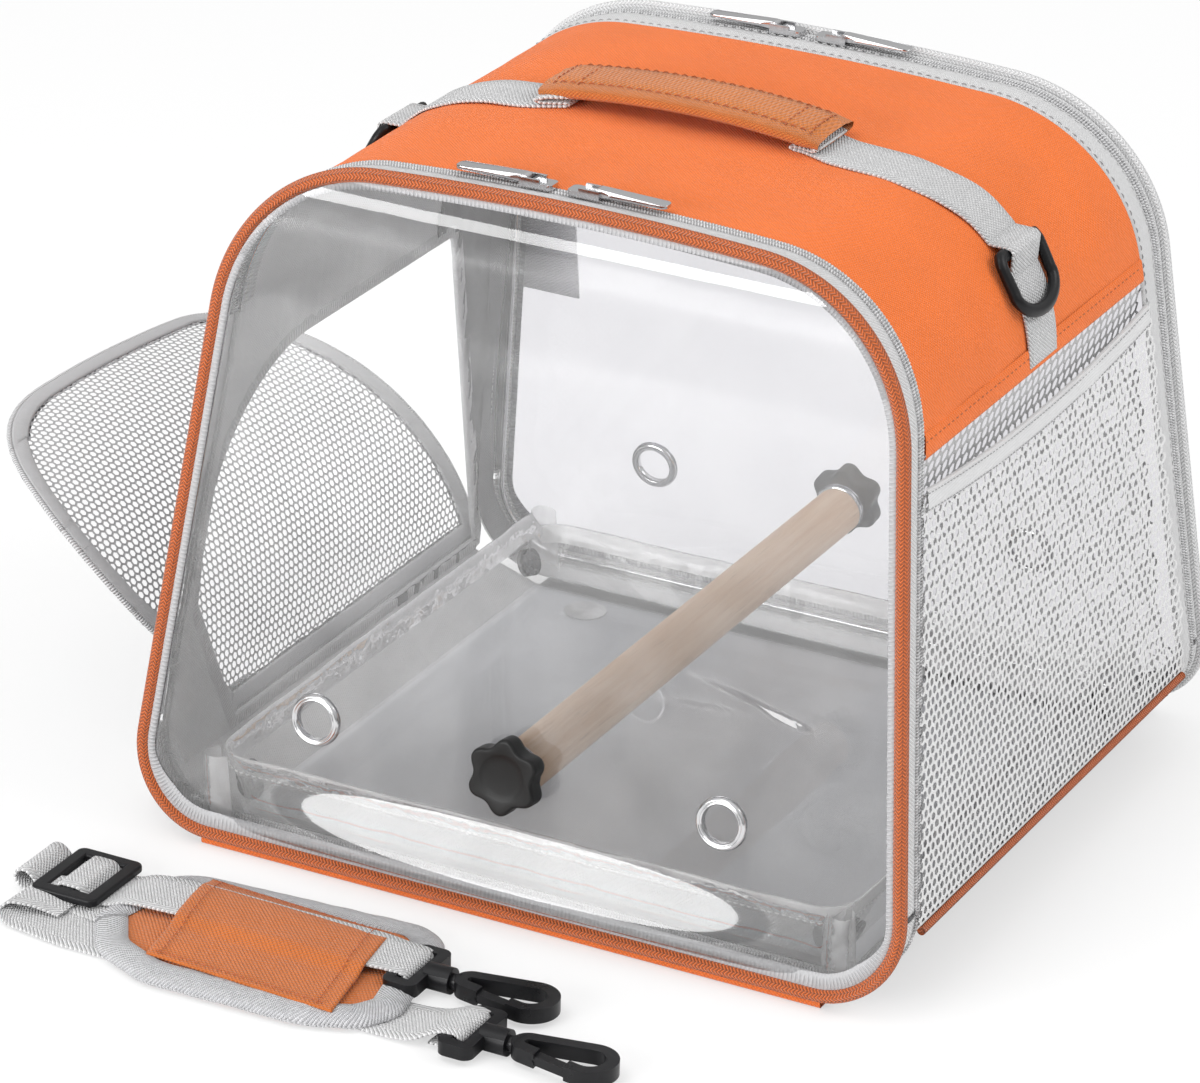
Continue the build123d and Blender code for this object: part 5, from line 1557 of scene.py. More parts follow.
def tray():
    """Clear tray: flat floor, creased flaring walls and a doubled hem round the rim."""
    n = len(loop)
    floor_verts = [(p[0] * k, tray_y + p[1] * k, tray_low) for k in (1.0, 0.5) for p in loop]
    floor_faces = grid_faces(2, n, False, True) + [tuple(range(n, 2 * n))]
    make(
        "tray_floor", floor_verts, floor_faces, tray_vinyl, "carrier", uv=[v[:2] for v in floor_verts],
        replaces=["clear_tray"],
    )
    shares = [0, 0.05, 0.15, 0.3, 0.45, 0.6, 0.75, 0.9, 1.0]

    def wall(i, j):
        return tray_point(*loop[i], shares[j]), (tray_step * i, tray_rim * shares[j])

    surface("tray_walls", n, len(shares), wall, tray_wall_vinyl, "carrier", wrap_rows=True)
    hem = [
        (0.68, 0.9), (0.7, 1.1), (0.85, 1.2), (0.98, 1.1), (1.02, 0.5), (1.02, -0.3), (0.98, -0.9),
        (0.85, -1.0), (0.7, -0.9),
    ]

    def hem_place(i, j):
        share, out = hem[j]
        out += 0.35 * wobble(tray_step * i, 8 * j, 0, 7, 3)
        return tray_point(*loop[i], share, out), (tray_step * i, tray_rim * share)

    surface("tray_hem", n, len(hem), hem_place, tray_hem_vinyl, "carrier", wrap_rows=True)


def tray_fold(cx, cy, turn):
    """Folded corner of the tray: a small standing gusset of doubled vinyl."""
    bend = [0, 0.18, 0.36, 0.5, 0.64, 0.82, 1.0]
    fold_high = 1.22

    def place(i, j):
        t, up = bend[i], j / 6
        swing = sin(pi * t)
        a = turn + (t - 0.5) * 1.9 * (1 - 0.3 * up)
        r = 9.0 + 7.0 * swing
        x, y = cx + r * cos(a), cy + r * sin(a)
        return (x, y, tray_low + 1 + fold_high * tray_rim * up), (12 * t, 24 * up)

    surface(f"tray_fold_{'ab'[cx > 0]}{'ab'[cy > 0]}", 7, 7, place, tray_hem_vinyl, "carrier")


loop = tray_loop()
tray()
for sx in (LEFT, RIGHT):
    for sy in (FRONT, BACK):
        tray_fold(sx * (tray_wide / 2 + 1), tray_y + sy * (tray_deep / 2 + 1), atan2(sy, sx))

hem_seam_rise, hem_seam_out = 18.0, 1.5
closed_loop = loop + loop[:1]
stitches(
    "tray_hem_seam", [tray_point(*p, hem_seam_rise / tray_rim, hem_seam_out) for p in closed_loop],
    [(nx, ny, 0.2) for x, y, nx, ny in closed_loop], pale_thread, "carrier", long=2.0, gap=1.2, r=0.34,
)
copy_cad("tray_snaps", gunmetal, "carrier", 0.5, 3)

snap_profile = [(0.0, 2.2), (3.6, 2.1), (5.6, 1.6), (6.5, 0.7), (6.6, 0.0), (6.2, -0.4), (0.0, -0.4)]
snap_x, snap_y, snap_z = 137.5, -141.0, 19.5
snap_lean = Matrix.Rotation(radians(82), 4, "X")
for side, label in ((LEFT, "left"), (RIGHT, "right")):
    facing = Matrix.Translation(Vector((side * snap_x, snap_y, snap_z)) * MM) @ snap_lean
    revolve(f"tray_snap_cap_{label}", snap_profile, facing, gunmetal, "carrier", close=False)


# ------------------------------------------------------------------ webbing, handle and rings

webbing_wide, webbing_thick, bar_off = 30.0, 1.25, 4.3
ring_z = roof_top - 28.5
ring_rise = (ring_z - corner_z) / (top_r + bar_off)
bar_x = corner_x + (top_r + bar_off) * (1 - ring_rise**2) ** 0.5


def ribbon(name, path, wide, thick, mat, body, across=(0, 1, 0), soft=0.25, seed=1.0, narrow=None, **kw):
    """Flat woven strap along a path: rounded thin section, slightly uneven."""
    pts = [Vector(p) for p in path]
    across = Vector(across).normalized()
    section = [(-0.5, -0.3), (-0.5, 0.3), (-0.485, 0.5), (-0.25, 0.5), (0.0, 0.5), (0.25, 0.5), (0.485, 0.5),
               (0.5, 0.3), (0.5, -0.3), (0.485, -0.5), (0.25, -0.5), (0, -0.5), (-0.25, -0.5), (-0.485, -0.5)]
    verts, uv, run = [], [], 0.0
    for i, p in enumerate(pts):
        t = (pts[min(i + 1, len(pts) - 1)] - pts[max(i - 1, 0)]).normalized()
        up = t.cross(across).normalized()
        if i:
            run += (p - pts[i - 1]).length
        drift = soft * wobble(run, 0, 0, 24, seed)
        full = wide * (narrow(p) if narrow else 1.0)
        for a, b in section:
            lift_mm = soft * 0.8 * wobble(run, a * wide, 0, 18, seed + 3)
            verts.append(p + across * (a * full + drift) + up * (b * thick + lift_mm * 0.4))
            uv.append((run, a * wide))
    m = len(section)
    faces = grid_faces(len(pts), m, False, True)
    faces.append(tuple(range(m)))
    faces.append(tuple(reversed(range((len(pts) - 1) * m, len(pts) * m))))
    return make(name, verts, faces, mat, body, uv=uv, **kw)


def bent(points, step=2.0, r=3.0):
    """Open path with its corners rounded and its stretches divided."""
    pts = [Vector(p) for p in points]
    out = [pts[0]]
    for a, p, b in zip(pts, pts[1:], pts[2:]):
        da, db = (a - p), (b - p)
        reach = min(r, da.length * 0.45, db.length * 0.45)
        s, e = p + da.normalized() * reach, p + db.normalized() * reach
        for k in range(5):
            t = k / 4
            out.append(s * (1 - t) ** 2 + p * 2 * t * (1 - t) + e * t * t)
    out.append(pts[-1])
    dense = [out[0]]
    for a, b in zip(out, out[1:]):
        k = max(1, int((b - a).length / step))
        dense += [a.lerp(b, m / k) for m in range(1, k + 1)]
    return dense


def roof_at(x):
    """Height of the roof's crown at a distance from the middle."""
    return crown_mid + (crown_r**2 - x**2) ** 0.5


def over_roof(x_from, gap):
    """Run of webbing on the roof from a distance off the middle to the ring's bar."""
    points = [p for p in outline(1.5) if p[0] > 0 and p[1] > ring_z - 14 and p[0] > x_from - 0.5]
    return [(x + nx * gap, 0.0, z + nz * gap) for x, z, nx, nz, s in reversed(points)]


webbing_gap = 0.9
bar_wrap = 3.7
handle_top = roof_top + 9.1
handle_drop = 5.1
sleeve_ends = {RIGHT: 61.0, LEFT: 70.0}


left_drift, right_drift = -9.5, -5.0


def strap_drift(x):
    """How far the loosely sewn webbing wanders towards the front or back on the roof."""
    if x < 0:
        return left_drift * smooth_step((-x - 48) / 30) * (1 - 0.9 * smooth_step((-x - 112) / 24))
    return right_drift * smooth_step((x - 50) / 20) * (1 - 1.2 * smooth_step((x - 100) / 30))


for side, label in both_sides:
    e, end_z = sleeve_ends[side], handle_top - handle_drop
    down = [p for p in over_roof(e - 13, webbing_gap) if p[2] > ring_z + 3.0]
    turns = [radians(68) - radians(14 * k) for k in range(4)]
    over_bar = [(bar_x + bar_wrap * cos(a), 0.0, ring_z + bar_wrap * sin(a)) for a in turns]
    below = [p for p in outline(1.5) if p[0] > 0 and seam_height - 0.5 < p[1] < ring_z - 9]
    hang_down = [(x + nx * webbing_gap, 0.0, z + nz * webbing_gap) for x, z, nx, nz, s in reversed(below)]
    # the webbing leaves the sleeve, folds back under its end and turns out again on the roof
    fold = bent([
        (e - 18, 0, end_z), (e - 5, 0, end_z - 0.6), (e - 1.2, 0, end_z - 1.6),
        (e - 0.6, 0, roof_at(e) + 3.9), (e - 3, 0, roof_at(e) + 2.7), (e - 13, 0, roof_at(e - 13) + 2.3),
        (e - 14.4, 0, roof_at(e - 14) + 1.6), (e - 12.6, 0, roof_at(e - 13) + 0.9),
    ], 1.6, 1.6)
    fall = bent([over_bar[-1], *hang_down], 2.0, 5.0)
    run = [Vector(p) for p in fold + down[1:] + over_bar[:-1] + fall]
    mirrored = [Vector((side * p.x, strap_drift(side * p.x), p.z)) for p in run]
    ribbon(
        f"carry_webbing_{label}", mirrored, webbing_wide, webbing_thick, webbing, "carrier",
        seed=4.0 + side, narrow=lambda p: 1 - 0.08 * smooth_step((abs(p.x) - 118) / 16),
    )

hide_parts("carry_webbing")


def sleeve_mid(x):
    """Height of the handle's middle over its length."""
    return handle_top - handle_drop * (abs(x) / (sleeve_ends[RIGHT] if x > 0 else sleeve_ends[LEFT])) ** 2


def sleeve_band(y):
    """Share of the raised middle band at a distance from the handle's middle."""
    return 1 - smooth_step((abs(y) - 8.6) / 2.6)


def sleeve():
    """Padded handle sleeve: flat wrapped cloth with a raised middle band and rounded edges."""
    cols, sides = 101, 44

    def place(i, j):
        x = -sleeve_ends[LEFT] + (sleeve_ends[LEFT] + sleeve_ends[RIGHT]) * i / (cols - 1)
        a = 2 * pi * j / sides
        near = min(x + sleeve_ends[LEFT], sleeve_ends[RIGHT] - x)
        full = 0.62 + 0.38 * smooth_step(near / 9)
        wide = 17.4
        c, s = cos(a), sin(a)
        y = wide * (abs(c) ** 0.5) * (1 if c >= 0 else -1)
        z = 3.6 * full * (abs(s) ** 0.55) * (1 if s >= 0 else -1)
        if s > 0:
            z += full * sleeve_band(y) + 0.3 * wobble(x * 2.2, y, 0, 12, 3)
        slope = 10.2 * x / 64 / 64
        return (x + z * slope, y, sleeve_mid(x) + z), (x, 34 * j / sides * 2)

    return surface(
        "handle_cover", cols, sides, place, handle_cloth, "carrier", wrap_cols=True,
        replaces=["handle_sleeve"], flip=True,
    )


handle_cover = sleeve()


def top_stitches(name, line, body, **kw):
    """Orange seam on a piece that lies flat."""
    stitches(name, line, [(0, 0, 1)] * len(line), orange_thread, body, **kw)


for end, label in both_ends:
    line = [(x, end * 12.4, sleeve_mid(x) + 3.95) for x in range(-62, 55, 2)]
    top_stitches(f"handle_seam_{label}", line, "carrier", long=2.8, gap=1.7, r=0.36)
for side, label in ((LEFT, "left"), (RIGHT, "right")):
    for inset in (5.5, 17.0):
        x = side * (sleeve_ends[side] - inset)
        line = [(x, y, sleeve_mid(x) + 3.7 + sleeve_band(y)) for y in range(-14, 15)]
        top_stitches(f"handle_end_seam_{label}_{int(inset)}", line, "carrier", long=2.6, gap=1.4, r=0.36)


def d_ring(side, label):
    """Moulded ring: straight bar in the webbing loop, straight shanks and a round end."""
    hang = radians(61)
    drop = Vector((side * cos(hang), 0, -sin(hang)))
    centre = Vector((side * bar_x, 0, ring_z))
    along = Vector((0, 1, 0))
    half, long, cut, bar_drop = 18.8, 18.0, 1.4, -0.6
    shank = [(half - 0.5 * (k / 10) ** 2, 3 + (long - 6) * k / 10) for k in range(11)]
    path = [(half - cut, bar_drop), (half - 0.4, 1.6), *shank]
    for k in range(1, 24):
        a = pi * k / 24
        path.append((half * cos(a) * (0.97 + 0.03 * abs(cos(a))), long - 3.5 + 12.6 * sin(a) ** 0.9))
    path += [(-a, b) for a, b in reversed(shank)]
    path += [(-half + 0.4, 1.6), (-half + cut, bar_drop)]
    path += [(-half + cut + (2 * half - 2 * cut) * k / 12, bar_drop) for k in range(1, 12)]
    tube(
        f"{label}_ring_moulding", [centre + along * a + drop * b for a, b in path], 3.0, black_plastic,
        f"d_ring_{label}", sides=14, closed=True, up=along.cross(drop), flat=0.8,
        replaces=[f"d_ring_{label}"],
    )


d_ring(LEFT, "left")
d_ring(RIGHT, "right")

# Window tie on the outside of the back window; its top is sewn in at the frame's corner
tie_x, tie_top, tie_wide, tie_long = base_width / 2 - 32.5, 240.0, 32.0, 101.0
tie_lean, tie_out = 12.0, 4.0


def tie_place(i, j):
    """Point of the tie: 13 rows across and 31 down, its hidden top leaning inward."""
    z = tie_top - tie_long * j / 30
    x = -tie_x + tie_wide * (i / 12 - 0.5) + tie_lean * smooth_step((z - 176) / 64)
    up = z / cos(end_lean)
    out = tie_out + 0.5 * wobble(x, up, 0, 22, 3)
    return tuple(end_point(BACK, x, up, out) / MM), (up, x)


tie = surface("window_tie", 13, 31, tie_place, grey_tie, "back_door", replaces=["window_tie_strap"])
thicken(tie, 1.2, 0.0)


# ------------------------------------------------------------------ side door, curved open

door_clear, door_sheet, hinge_z = 1.2, 1.6, 14.5
strips = 4
strip_long = (opening_top + door_overlap - hinge_z) / cos(side_lean) / strips
first_bend, next_bend = 17.3, 22.8  # degrees, the bends of the solids at rest
hinge_shift = hinge_z / cos(side_lean)
hinge_x = -side_x(hinge_z) - (door_clear + door_sheet / 2) * cos(side_lean)
hinge_at = (hinge_x, hinge_z + (door_clear + door_sheet / 2) * sin(side_lean))


def door_bend(s):
    """Bend of the door away from the wall at a distance up it from its hinge line, in radians."""
    return radians(first_bend + next_bend * (s / strip_long - 0.5))


curve_step = 0.5
door_bow, door_bow_mid, door_bow_half, door_level, door_draw = 6.5, 60.0, 110, -3.0, 8.0
door_reach, door_spare = 200, 14
door_curve = [hinge_at]
for k in range(int((strips * strip_long + door_spare) / curve_step)):
    bend = side_lean - door_bend((k + 0.5) * curve_step)
    x, z = door_curve[-1]
    door_curve.append((x + sin(bend) * curve_step, z + cos(bend) * curve_step))


def door_point(a, s, out=0.0):
    """Point of the door from a towards the front, s up the door and out from its middle."""
    t = max(0.0, s / curve_step)
    k = min(int(t), len(door_curve) - 2)
    (x0, z0), (x1, z1) = door_curve[k], door_curve[k + 1]
    bend = side_lean - door_bend(s)
    x, z = x0 + (x1 - x0) * (t - k), z0 + (z1 - z0) * (t - k)
    reach = (max(0.0, s) / door_reach) ** 2
    z += reach * (door_level + door_bow * max(-1.0, 1 - ((a - door_bow_mid) / door_bow_half) ** 2))
    x += reach * door_draw
    tip = 0.5 * wobble(a, s, 0, 60, 4)
    return (x - (out + tip) * cos(bend), -a, z + (out + tip) * sin(bend))


door_radii = [0, 4, 88, 84, 26]
door_step = 3.0
door_edge_line = [(p[0], p[1] - hinge_shift) for p in opening_outline(door_overlap, door_step, door_radii)]
door_chain = ["carrier"] + [f"side_door_strip_{k}" for k in range(1, strips + 1)]
below_door, above_door = -10.0, 300.0
door_cuts = [below_door] + [(k + 0.5) * strip_long for k in range(strips)] + [above_door]


def hang(piece, k):
    """Puts the last cut of the door on the last strip's body; any other cut only has its place baked into its
    mesh.
    """
    if k == strips:
        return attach(piece, door_chain[strips])
    start = door_point(0, max(0.0, door_cuts[k]))
    end = door_point(0, door_cuts[k + 1])
    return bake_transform(piece)


def cut_loop(points, low, high):
    """Runs of a closed line of (a, s) points between two heights, ends cut on the heights."""
    dense = []
    for i, p in enumerate(points):
        q = points[(i + 1) % len(points)]
        dense.append(tuple(p))
        marks = sorted(
            ((c - p[1]) / (q[1] - p[1]), c)
            for c in (low, high) if (c - p[1]) * (c - q[1]) < 0 and q[1] != p[1]
        )
        dense += [(p[0] + (q[0] - p[0]) * t, c) for t, c in marks]
    ok = [low - 1e-6 <= p[1] <= high + 1e-6 for p in dense]
    if all(ok):
        return [dense + dense[:1]]
    return [run for run in runs_of(dense, ok) if len(run) > 1]


edge_away = []
for i in range(len(door_edge_line)):
    d = Vector(door_edge_line[(i + 1) % len(door_edge_line)]) - Vector(door_edge_line[i - 1])
    edge_away.append(Vector((d.y, -d.x)).normalized())


def away_at(a, s):
    """Outward direction of the door's edge nearest to a point."""
    near = [(p[0] - a) ** 2 + (p[1] - s) ** 2 for p in door_edge_line]
    return edge_away[near.index(min(near))]


def edge_strip(name, k, profile, mat, rough=0.0):
    """Strip along the door's edge; the profile lists its inset and its distance out."""
    made = []
    low, high = door_cuts[k], door_cuts[k + 1]
    for m, run in enumerate(cut_loop(door_edge_line, low, high)):
        ways = [away_at(*p) for p in run]

        def place(i, j, run=run, ways=ways):
            a, s = run[i]
            inset, out = profile[j]
            inset += rough * wobble(a, s, j, 2.5, 2)
            q = Vector((a, s)) - ways[i] * inset
            along = Vector((-ways[i].y, ways[i].x))
            # both sides of a cut end on its height, so that neighbours meet
            for bound, beyond in ((low, q.y < low), (high, q.y > high)):
                at_end = i in (0, len(run) - 1) and abs(s - bound) < 0.01
                if (beyond or at_end) and abs(along.y) > 0.25:
                    q += along * ((bound - q.y) / along.y)
            return door_point(q.x, q.y, out), (i * door_step, inset)

        made.append(surface(f"{name}_{k}_{m}", len(run), len(profile), place, mat, None))
    hang(joined(f"{name}_{k}", made), k)


binding_profile = [
    (0.2, 0.0), (0.6, 0.9), (1.4, 1.15), (4.5, 1.2), (7.4, 1.1), (8.2, 0.6), (8.2, -0.6), (7.4, -1.0),
    (4.5, -1.15), (1.4, -1.1), (0.6, -0.9), (0.2, 0.0),
]
coil_profile = [
    (-1.9, -0.1), (-1.5, 0.75), (-0.6, 0.95), (0.3, 0.75), (0.5, 0.0), (0.3, -0.75), (-0.6, -0.95),
    (-1.5, -0.75), (-1.9, -0.1),
]
inner_seam_profile = [(7.6, 1.05), (7.9, 1.5), (8.7, 1.45), (9.1, 0.9)]
outer_seam_profile = [(1.6, 1.1), (1.8, 1.4), (2.2, 1.4), (2.4, 1.1)]
door_net_across, door_net_up = (-160, 140), (-1, 215)
for k in range(strips + 1):
    low, high = door_cuts[k], door_cuts[k + 1]

    def keep(u, v, low=low, high=high):
        return low <= v < high and inside(door_edge_line, u, v)

    piece = net(
        f"door_net_{k}", door_net_across, door_net_up, *door_mesh,
        lambda u, v, h: door_point(u, v, 0.1 + h),
        door_net_yarn, None, keep=keep,
    )
    hang(piece, k)
    edge_strip("door_binding", k, binding_profile, satin_binding)
    edge_strip("door_coil", k, coil_profile, coil_plastic, rough=0.25)
    edge_strip("door_inner_seam", k, inner_seam_profile, grey_seam, rough=0.9)
    edge_strip("door_outer_seam", k, outer_seam_profile, grey_seam, rough=0.3)
    if k:
        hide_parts(f"side_door_panel_{k}")
copy_cad("side_door_zip", bright, "side_door_strip_1", 0.4)

# ------------------------------------------------------------------ shoulder strap

low_y, high_y = -262.0, -228.0
pad_mid = (-71.0, -243.0)
pad_low, pad_thick, pad_crown, pad_step = 2.0, 4.4, 1.3, 3.0
strap_thick = 1.3


def crowned(name, points, low, high, crown, mat, body, uv_turn, **kw):
    """Closed soft pad over a flat outline: crowned top, pulled-in sides, nearly flat underside."""
    rings, edge, lump, seed = 14, 0.35, 0.25, 1.0
    n = len(points)
    cx = sum(p[0] for p in points) / n
    cy = sum(p[1] for p in points) / n
    verts, uv = [], []
    for top in (True, False):
        for i in range(rings):
            t = 1 - (i / rings) ** 1.4 if top else 1 - (i / rings)
            swell = (1 - t**3.2) ** 0.5 if t < 1 else 0.0
            for x, y in points:
                a, b = cx + (x - cx) * t, cy + (y - cy) * t
                mid = low + (high - low) * edge
                noise_z = lump * wobble(a, b, 0, 17, seed) * swell
                z = mid - (mid - low) * min(1, swell * 2.2)
                if top:
                    z = mid + (high + crown * swell - mid) * swell + noise_z
                verts.append((a, b, z))
                uv.append((a * cos(uv_turn) - b * sin(uv_turn), a * sin(uv_turn) + b * cos(uv_turn)))
    faces = []
    for half in (0, 1):
        base = half * rings * n
        for i in range(rings - 1):
            for j in range(n):
                a, b = base + i * n + j, base + i * n + (j + 1) % n
                face = (a, b, b + n, a + n)
                faces.append(face if not half else tuple(reversed(face)))
        last = base + (rings - 1) * n
        cap = tuple(range(last, last + n))
        faces.append(cap if not half else tuple(reversed(cap)))
    return modifier(make(name, verts, faces, mat, body, uv=uv, **kw), "WELD", merge_threshold=weld_reach)


pad_corners = [
    (-148, -250), (-139, -199), (-20, -190.5), (-8, -202), (4, -262), (-6, -279), (-30, -287.5),
    (-104, -288.5), (-132, -276),
]
pad_radii = [12, 22, 22, 16, 16, 16, 26, 30, 26]
pad_line = [tuple(p) for p in evenly(fillet(pad_corners, pad_radii, pad_step), pad_step)]
pad = crowned(
    "pad_cushion", pad_line, pad_low - 1.2, pad_low + pad_thick - pad_crown, pad_crown, orange_pad,
    "shoulder_strap", replaces=["strap_pad"], uv_turn=0.1,
)


def pad_trim():
    """Wide slanting-rib binding folded over the pad's edge."""
    n = len(pad_line)
    profile = [
        (13.5, 5.2), (12.6, 6.2), (9.0, 6.6), (4.5, 6.1), (1.2, 4.6), (-0.6, 3.0), (0.2, 1.6), (4, 0.9),
        (9, 0.8), (13, 1.0),
    ]
    verts, uv = [], []
    for i in range(n):
        d = (Vector(pad_line[(i + 1) % n]) - Vector(pad_line[i - 1])).normalized()
        inward = Vector((-d.y, d.x))
        centre = Vector(pad_mid) - Vector(pad_line[i])
        if inward.dot(centre) < 0:
            inward = -inward
        for w, z in profile:
            x, y = pad_line[i][0] + inward.x * w, pad_line[i][1] + inward.y * w
            ripple = 0.35 * wobble(x, y, 0, 9, 5) if w > 0 else 0
            verts.append((x, y, z + ripple))
            uv.append((i * pad_step, w))
    make("pad_trim", verts, grid_faces(n, len(profile), True, False), pad_binding, "shoulder_strap", uv=uv)


pad_trim()


def strap():
    """Strap webbing: low run, loop at the left, tri-glide run, then over the pad to the first hook."""
    body = "shoulder_strap"
    # x, distance from the run's own line, and height
    low_run = [
        (25, 0, 2.6), (31, 0, 2.3), (36.6, 0, 2.5), (38.9, 0, 4.2), (39.2, 0, 6.2), (38.2, 0, 8.3),
        (35, 0, 9.1), (30.6, 0, 9.0), (26, 0, 6.9), (18, 0, 2.6), (8, 0, 1.2), (0, 0, 1.0), (-150, 0, 1.0),
        (-178, 4, 1.3), (-184.5, 9, 3.4), (-182, 13, 6.6), (-172, 16, 6.0), (-160, 18, 3.0),
    ]
    first = bent([(x, low_y + off, z) for x, off, z in low_run], 3.0, 4.0)
    ribbon(
        "strap_low_run", first, 30.0, strap_thick, strap_webbing, body, across=(0.06, 1, 0), soft=0.35,
        narrow=lambda p: 1 - 0.14 * smooth_step((p.x - 16) / 12), replaces=["strap_webbing"],
    )
    high_run = [
        (-128, -14, 3.0), (-160, -9, 2.0), (-181, -3, 1.7), (-189.6, -1, 2.6), (-193.4, 0, 6.0),
        (-191.6, 0, 9.8), (-187.4, 0, 10.4), (-184.2, 0, 8.0), (-182, 0, 4.9), (-179.4, 0, 3.6),
        (-176.6, 0, 3.5), (-174.2, 0, 4.7), (-171.2, 0, 8.0), (-169.4, 0, 8.5), (-162.6, 0, 8.5),
        (-160.8, 0, 8.0), (-157.6, 0, 4.6), (-155.4, 0, 3.8), (-150.4, 0, 3.9), (-146.5, 0, 4.6),
        (-141.5, 0, 7.0), (-134, 0, 8.4), (-110, 0, 9.2), (-24, 0, 9.2), (-8.6, 0, 9.1), (-6.0, 0, 8.0),
        (-5.4, 0, 5.7), (-6.0, 0, 3.4), (-9, 0, 2.4), (-15, 0, 2.3), (-19, 0, 2.5),
    ]
    second = bent([(x, high_y + off, z) for x, off, z in high_run], 2.0, 3.0)
    top_run = ribbon(
        "strap_top_run", second, 29.0, strap_thick, strap_webbing, None, soft=0.3, seed=5.0,
        narrow=lambda p: 1 - 0.12 * smooth_step((p.x + 30) / 16),
    )
    # ends of the stretch beside the tri-glide, which are worked out but not used; the top run's place is
    # baked into its mesh
    start, end = Vector((-132, high_y, 6)) * MM, Vector((-150, high_y, 6)) * MM
    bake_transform(top_run)
    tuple(start)
    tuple(end)


strap()


cover_long, cover_wide = 90.5, 70.0


def pad_cover():
    """Thin sleeve over the webbing, sewn along both long sides, open and bowed at its ends."""
    x_mid, y_mid, skew_x, skew_y = -68.5, -241.5, 10.0, 5.0
    rows, cols = 60, 56

    def place(i, j):
        u = -0.5 + i / (rows - 1)
        v = -0.5 + j / (cols - 1)
        x = x_mid + cover_long * u - skew_x * v
        y = y_mid + cover_wide * v - skew_y * u
        over_strap = 1 - smooth_step((abs(y - high_y) - 12) / 12)
        z = 7.1 + 2.6 * (1 - abs(2 * v) ** 6) * over_strap + 0.9 * (1 - abs(2 * v) ** 4)
        z += 0.45 * wobble(x, y, 0, 15, 3) * (1 - abs(2 * v) ** 4)
        return (x, y, z), (x, y)

    piece = surface("pad_cover", rows, cols, place, orange_pad, "shoulder_strap", replaces=["pad_sleeve"])
    thicken(piece, 0.9, 1.0)
    on_top = Vector((0, 0, 0.95))
    for label, u in (("left", -0.43), ("right", 0.43)):
        i = int((u + 0.5) * (rows - 1))
        line = [Vector(place(i, j)[0]) + on_top for j in range(1, cols - 1)]
        top_stitches(f"pad_cover_seam_{label}", line, "shoulder_strap", long=2.8, gap=1.3)
    for label, v in (("front", -0.46), ("back", 0.46)):
        j = int((v + 0.5) * (cols - 1))
        line = [Vector(place(i, j)[0]) + on_top for i in range(2, rows - 2)]
        top_stitches(f"pad_cover_side_{label}", line, "shoulder_strap", long=2.6, gap=1.2)


pad_cover()
copy_cad("tri_glide", black_plastic, "tri_glide", 1.1, 3, fuller=(0.9, 0.3))
copy_cad("hook_bases", black_plastic, "shoulder_strap", 0.9, 3, fuller=(0.4, 0.5))
for k in (1, 2):
    copy_cad(f"hook_{k}", hook_black, f"hook_{k}", 1.2, 3, fuller=(0.6, 0.8))
    copy_cad(f"gate_{k}", hook_black, f"gate_{k}", 0.5, fuller=(0.2, 0.5))


# ------------------------------------------------------------------ flat sizes of the sheets

roof_pattern = [(p[0], p[1]) for p in part_of(ring, low=seam_height)[0][0]]
for name in ("roof_cloth", "roof_inner_cloth"):
    cloth(name, *laid_across(roof_pattern, body_edges))
for name in ("bottom_cloth", "bottom_lining"):
    cloth(name, *laid_across(bottom_line, body_edges))
for end, label in both_ends:
    cloth(f"{label}_window_vinyl", *sliced(window_edge))
cloth("window_tie", tie_wide, tie_long, held="hung")
cloth("pad_cover", cover_long, cover_wide)
wall_line = [
    (end_place(end, side_x(z), z, body_edge_of[end])[1], z / cos(side_lean))
    for end, z in ((FRONT, net_foot), (BACK, net_foot), (BACK, net_top), (FRONT, net_top))
]
mean_pocket_top = 214 / cos(side_lean)
cloth("right_wall_net", *sliced(wall_line), solid=yarn_share(*wall_net))
cloth("pocket_net", *sliced(wall_line, high=mean_pocket_top), solid=yarn_share(*pocket_mesh))
for k in range(strips + 1):
    low, high = max(door_cuts[k], 0.0), min(door_cuts[k + 1], max(p[1] for p in door_edge_line))
    cloth(f"door_net_{k}", *sliced(door_edge_line, low, high), solid=yarn_share(*door_mesh))


# ------------------------------------------------------------------ floor, light and camera


def soft_light(name, at, aim, size, watts):
    """Large white area lamp at a place, turned to a point of the object."""
    light = bpy.data.lights.new(name, "AREA")
    light.shape = "RECTANGLE"
    light.size, light.size_y = size
    light.energy = watts
    lamp = bpy.data.objects.new(name, light)
    lamp.location = at
    lamp.rotation_euler = (Vector(aim) - Vector(at)).to_track_quat("-Z", "Y").to_euler()
    bpy.context.scene.collection.objects.link(lamp)


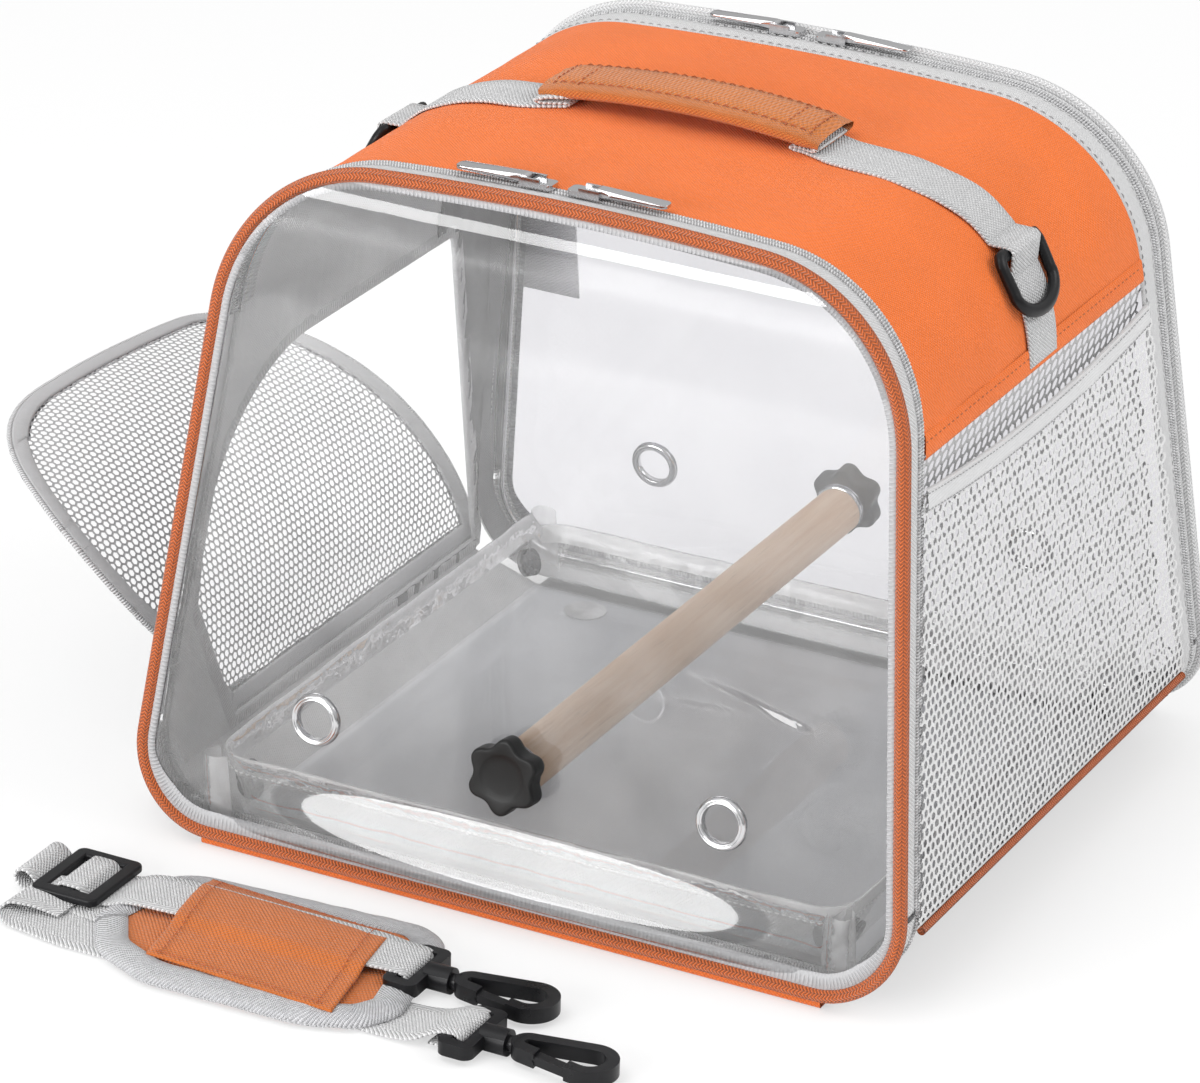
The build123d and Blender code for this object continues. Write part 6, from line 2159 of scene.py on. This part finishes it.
def floor():
    """White floor that keeps the shadow of the object and is seen white in mirrors."""
    s = Shader("white floor")
    rays = s.node("ShaderNodeLightPath")
    s.surface(Base_Color=(0.93, 0.93, 0.93), Roughness=0.9, Specular_IOR_Level=0.0)
    glow = s.node("ShaderNodeEmission")
    both = s.node("ShaderNodeMixShader")
    floor_glow = 0.55
    s.link(s.times(rays.outputs["Is Camera Ray"], floor_glow), both.inputs[0])
    s.tree.links.new(s.bsdf.outputs[0], both.inputs[1])
    s.tree.links.new(glow.outputs[0], both.inputs[2])
    s.tree.links.new(both.outputs[0], s.out.inputs["Surface"])
    mesh = bpy.data.meshes.new("floor")
    r = 12.0
    mesh.from_pydata([(-r, -r, 0), (r, -r, 0), (r, r, 0), (-r, r, 0)], [], [(0, 1, 2, 3)])
    mesh.materials.append(s.mat)
    plane = bpy.data.objects.new("floor", mesh)
    plane.location.z = -0.0004
    bpy.context.scene.collection.objects.link(plane)
    plane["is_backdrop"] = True


def studio_world():
    """White backdrop, which lights the object more from above than from below."""
    world = bpy.data.worlds.new("studio")
    bpy.context.scene.world = world
    world.use_nodes = True
    studio = world.node_tree
    background = studio.nodes["Background"]
    rays = studio.nodes.new("ShaderNodeLightPath")
    place = studio.nodes.new("ShaderNodeTexCoord")
    axes = studio.nodes.new("ShaderNodeSeparateXYZ")
    studio.links.new(place.outputs["Generated"], axes.inputs[0])
    sky = studio.nodes.new("ShaderNodeMapRange")
    studio.links.new(axes.outputs["Z"], sky.inputs["Value"])
    for key, value in (("From Min", -0.1), ("From Max", 0.9), ("To Min", 0.32), ("To Max", 0.95)):
        sky.inputs[key].default_value = value
    seen = studio.nodes.new("ShaderNodeMath")
    seen.operation = "MAXIMUM"
    studio.links.new(sky.outputs[0], seen.inputs[0])
    studio.links.new(rays.outputs["Is Camera Ray"], seen.inputs[1])
    background.inputs["Color"].default_value = (1, 1, 1, 1)
    studio.links.new(seen.outputs[0], background.inputs["Strength"])


floor()
studio_world()
soft_light("key", (-0.5, -1.3, 2.2), (0, 0, 0.12), (1.2, 1.2), 12)
soft_light("right", (1.6, 0.5, 1.5), (0, 0, 0.1), (1.2, 0.9), 13)
soft_light("front card", (-0.75, -2.1, 0.62), (0, 0, 0.1), (1.5, 0.8), 30)

# the camera was fitted to the photo, which is 1200 px wide
focal_px, photo_wide, sensor = 5754.367, 1200.0, 36.0
azimuth, elevation, roll = radians(26.73), radians(24.113), radians(-1.641)
eye = Vector((992.33, -2056.66, 1132.28)) * MM
back_dir = Vector((sin(azimuth) * cos(elevation), -cos(azimuth) * cos(elevation), sin(elevation)))
right_dir = Vector((cos(azimuth), sin(azimuth), 0))
up_dir = back_dir.cross(right_dir)
rolled_right = right_dir * cos(roll) - up_dir * sin(roll)
rolled_up = right_dir * sin(roll) + up_dir * cos(roll)
view_matrix = Matrix((rolled_right, rolled_up, back_dir)).transposed().to_4x4()
view_matrix.translation = eye
camera = bpy.data.objects.new("camera", bpy.data.cameras.new("camera"))
camera.data.sensor_width = sensor
camera.data.lens = focal_px * sensor / photo_wide
camera.data.clip_start, camera.data.clip_end = 0.1, 50.0
camera.matrix_world = view_matrix
bpy.context.scene.collection.objects.link(camera)
bpy.context.scene.camera = camera
bpy.context.scene.view_settings.view_transform = "Standard"

low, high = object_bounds()
{"cad": [list(v) for v in cad_box], "visual": [list(low), list(high)]}
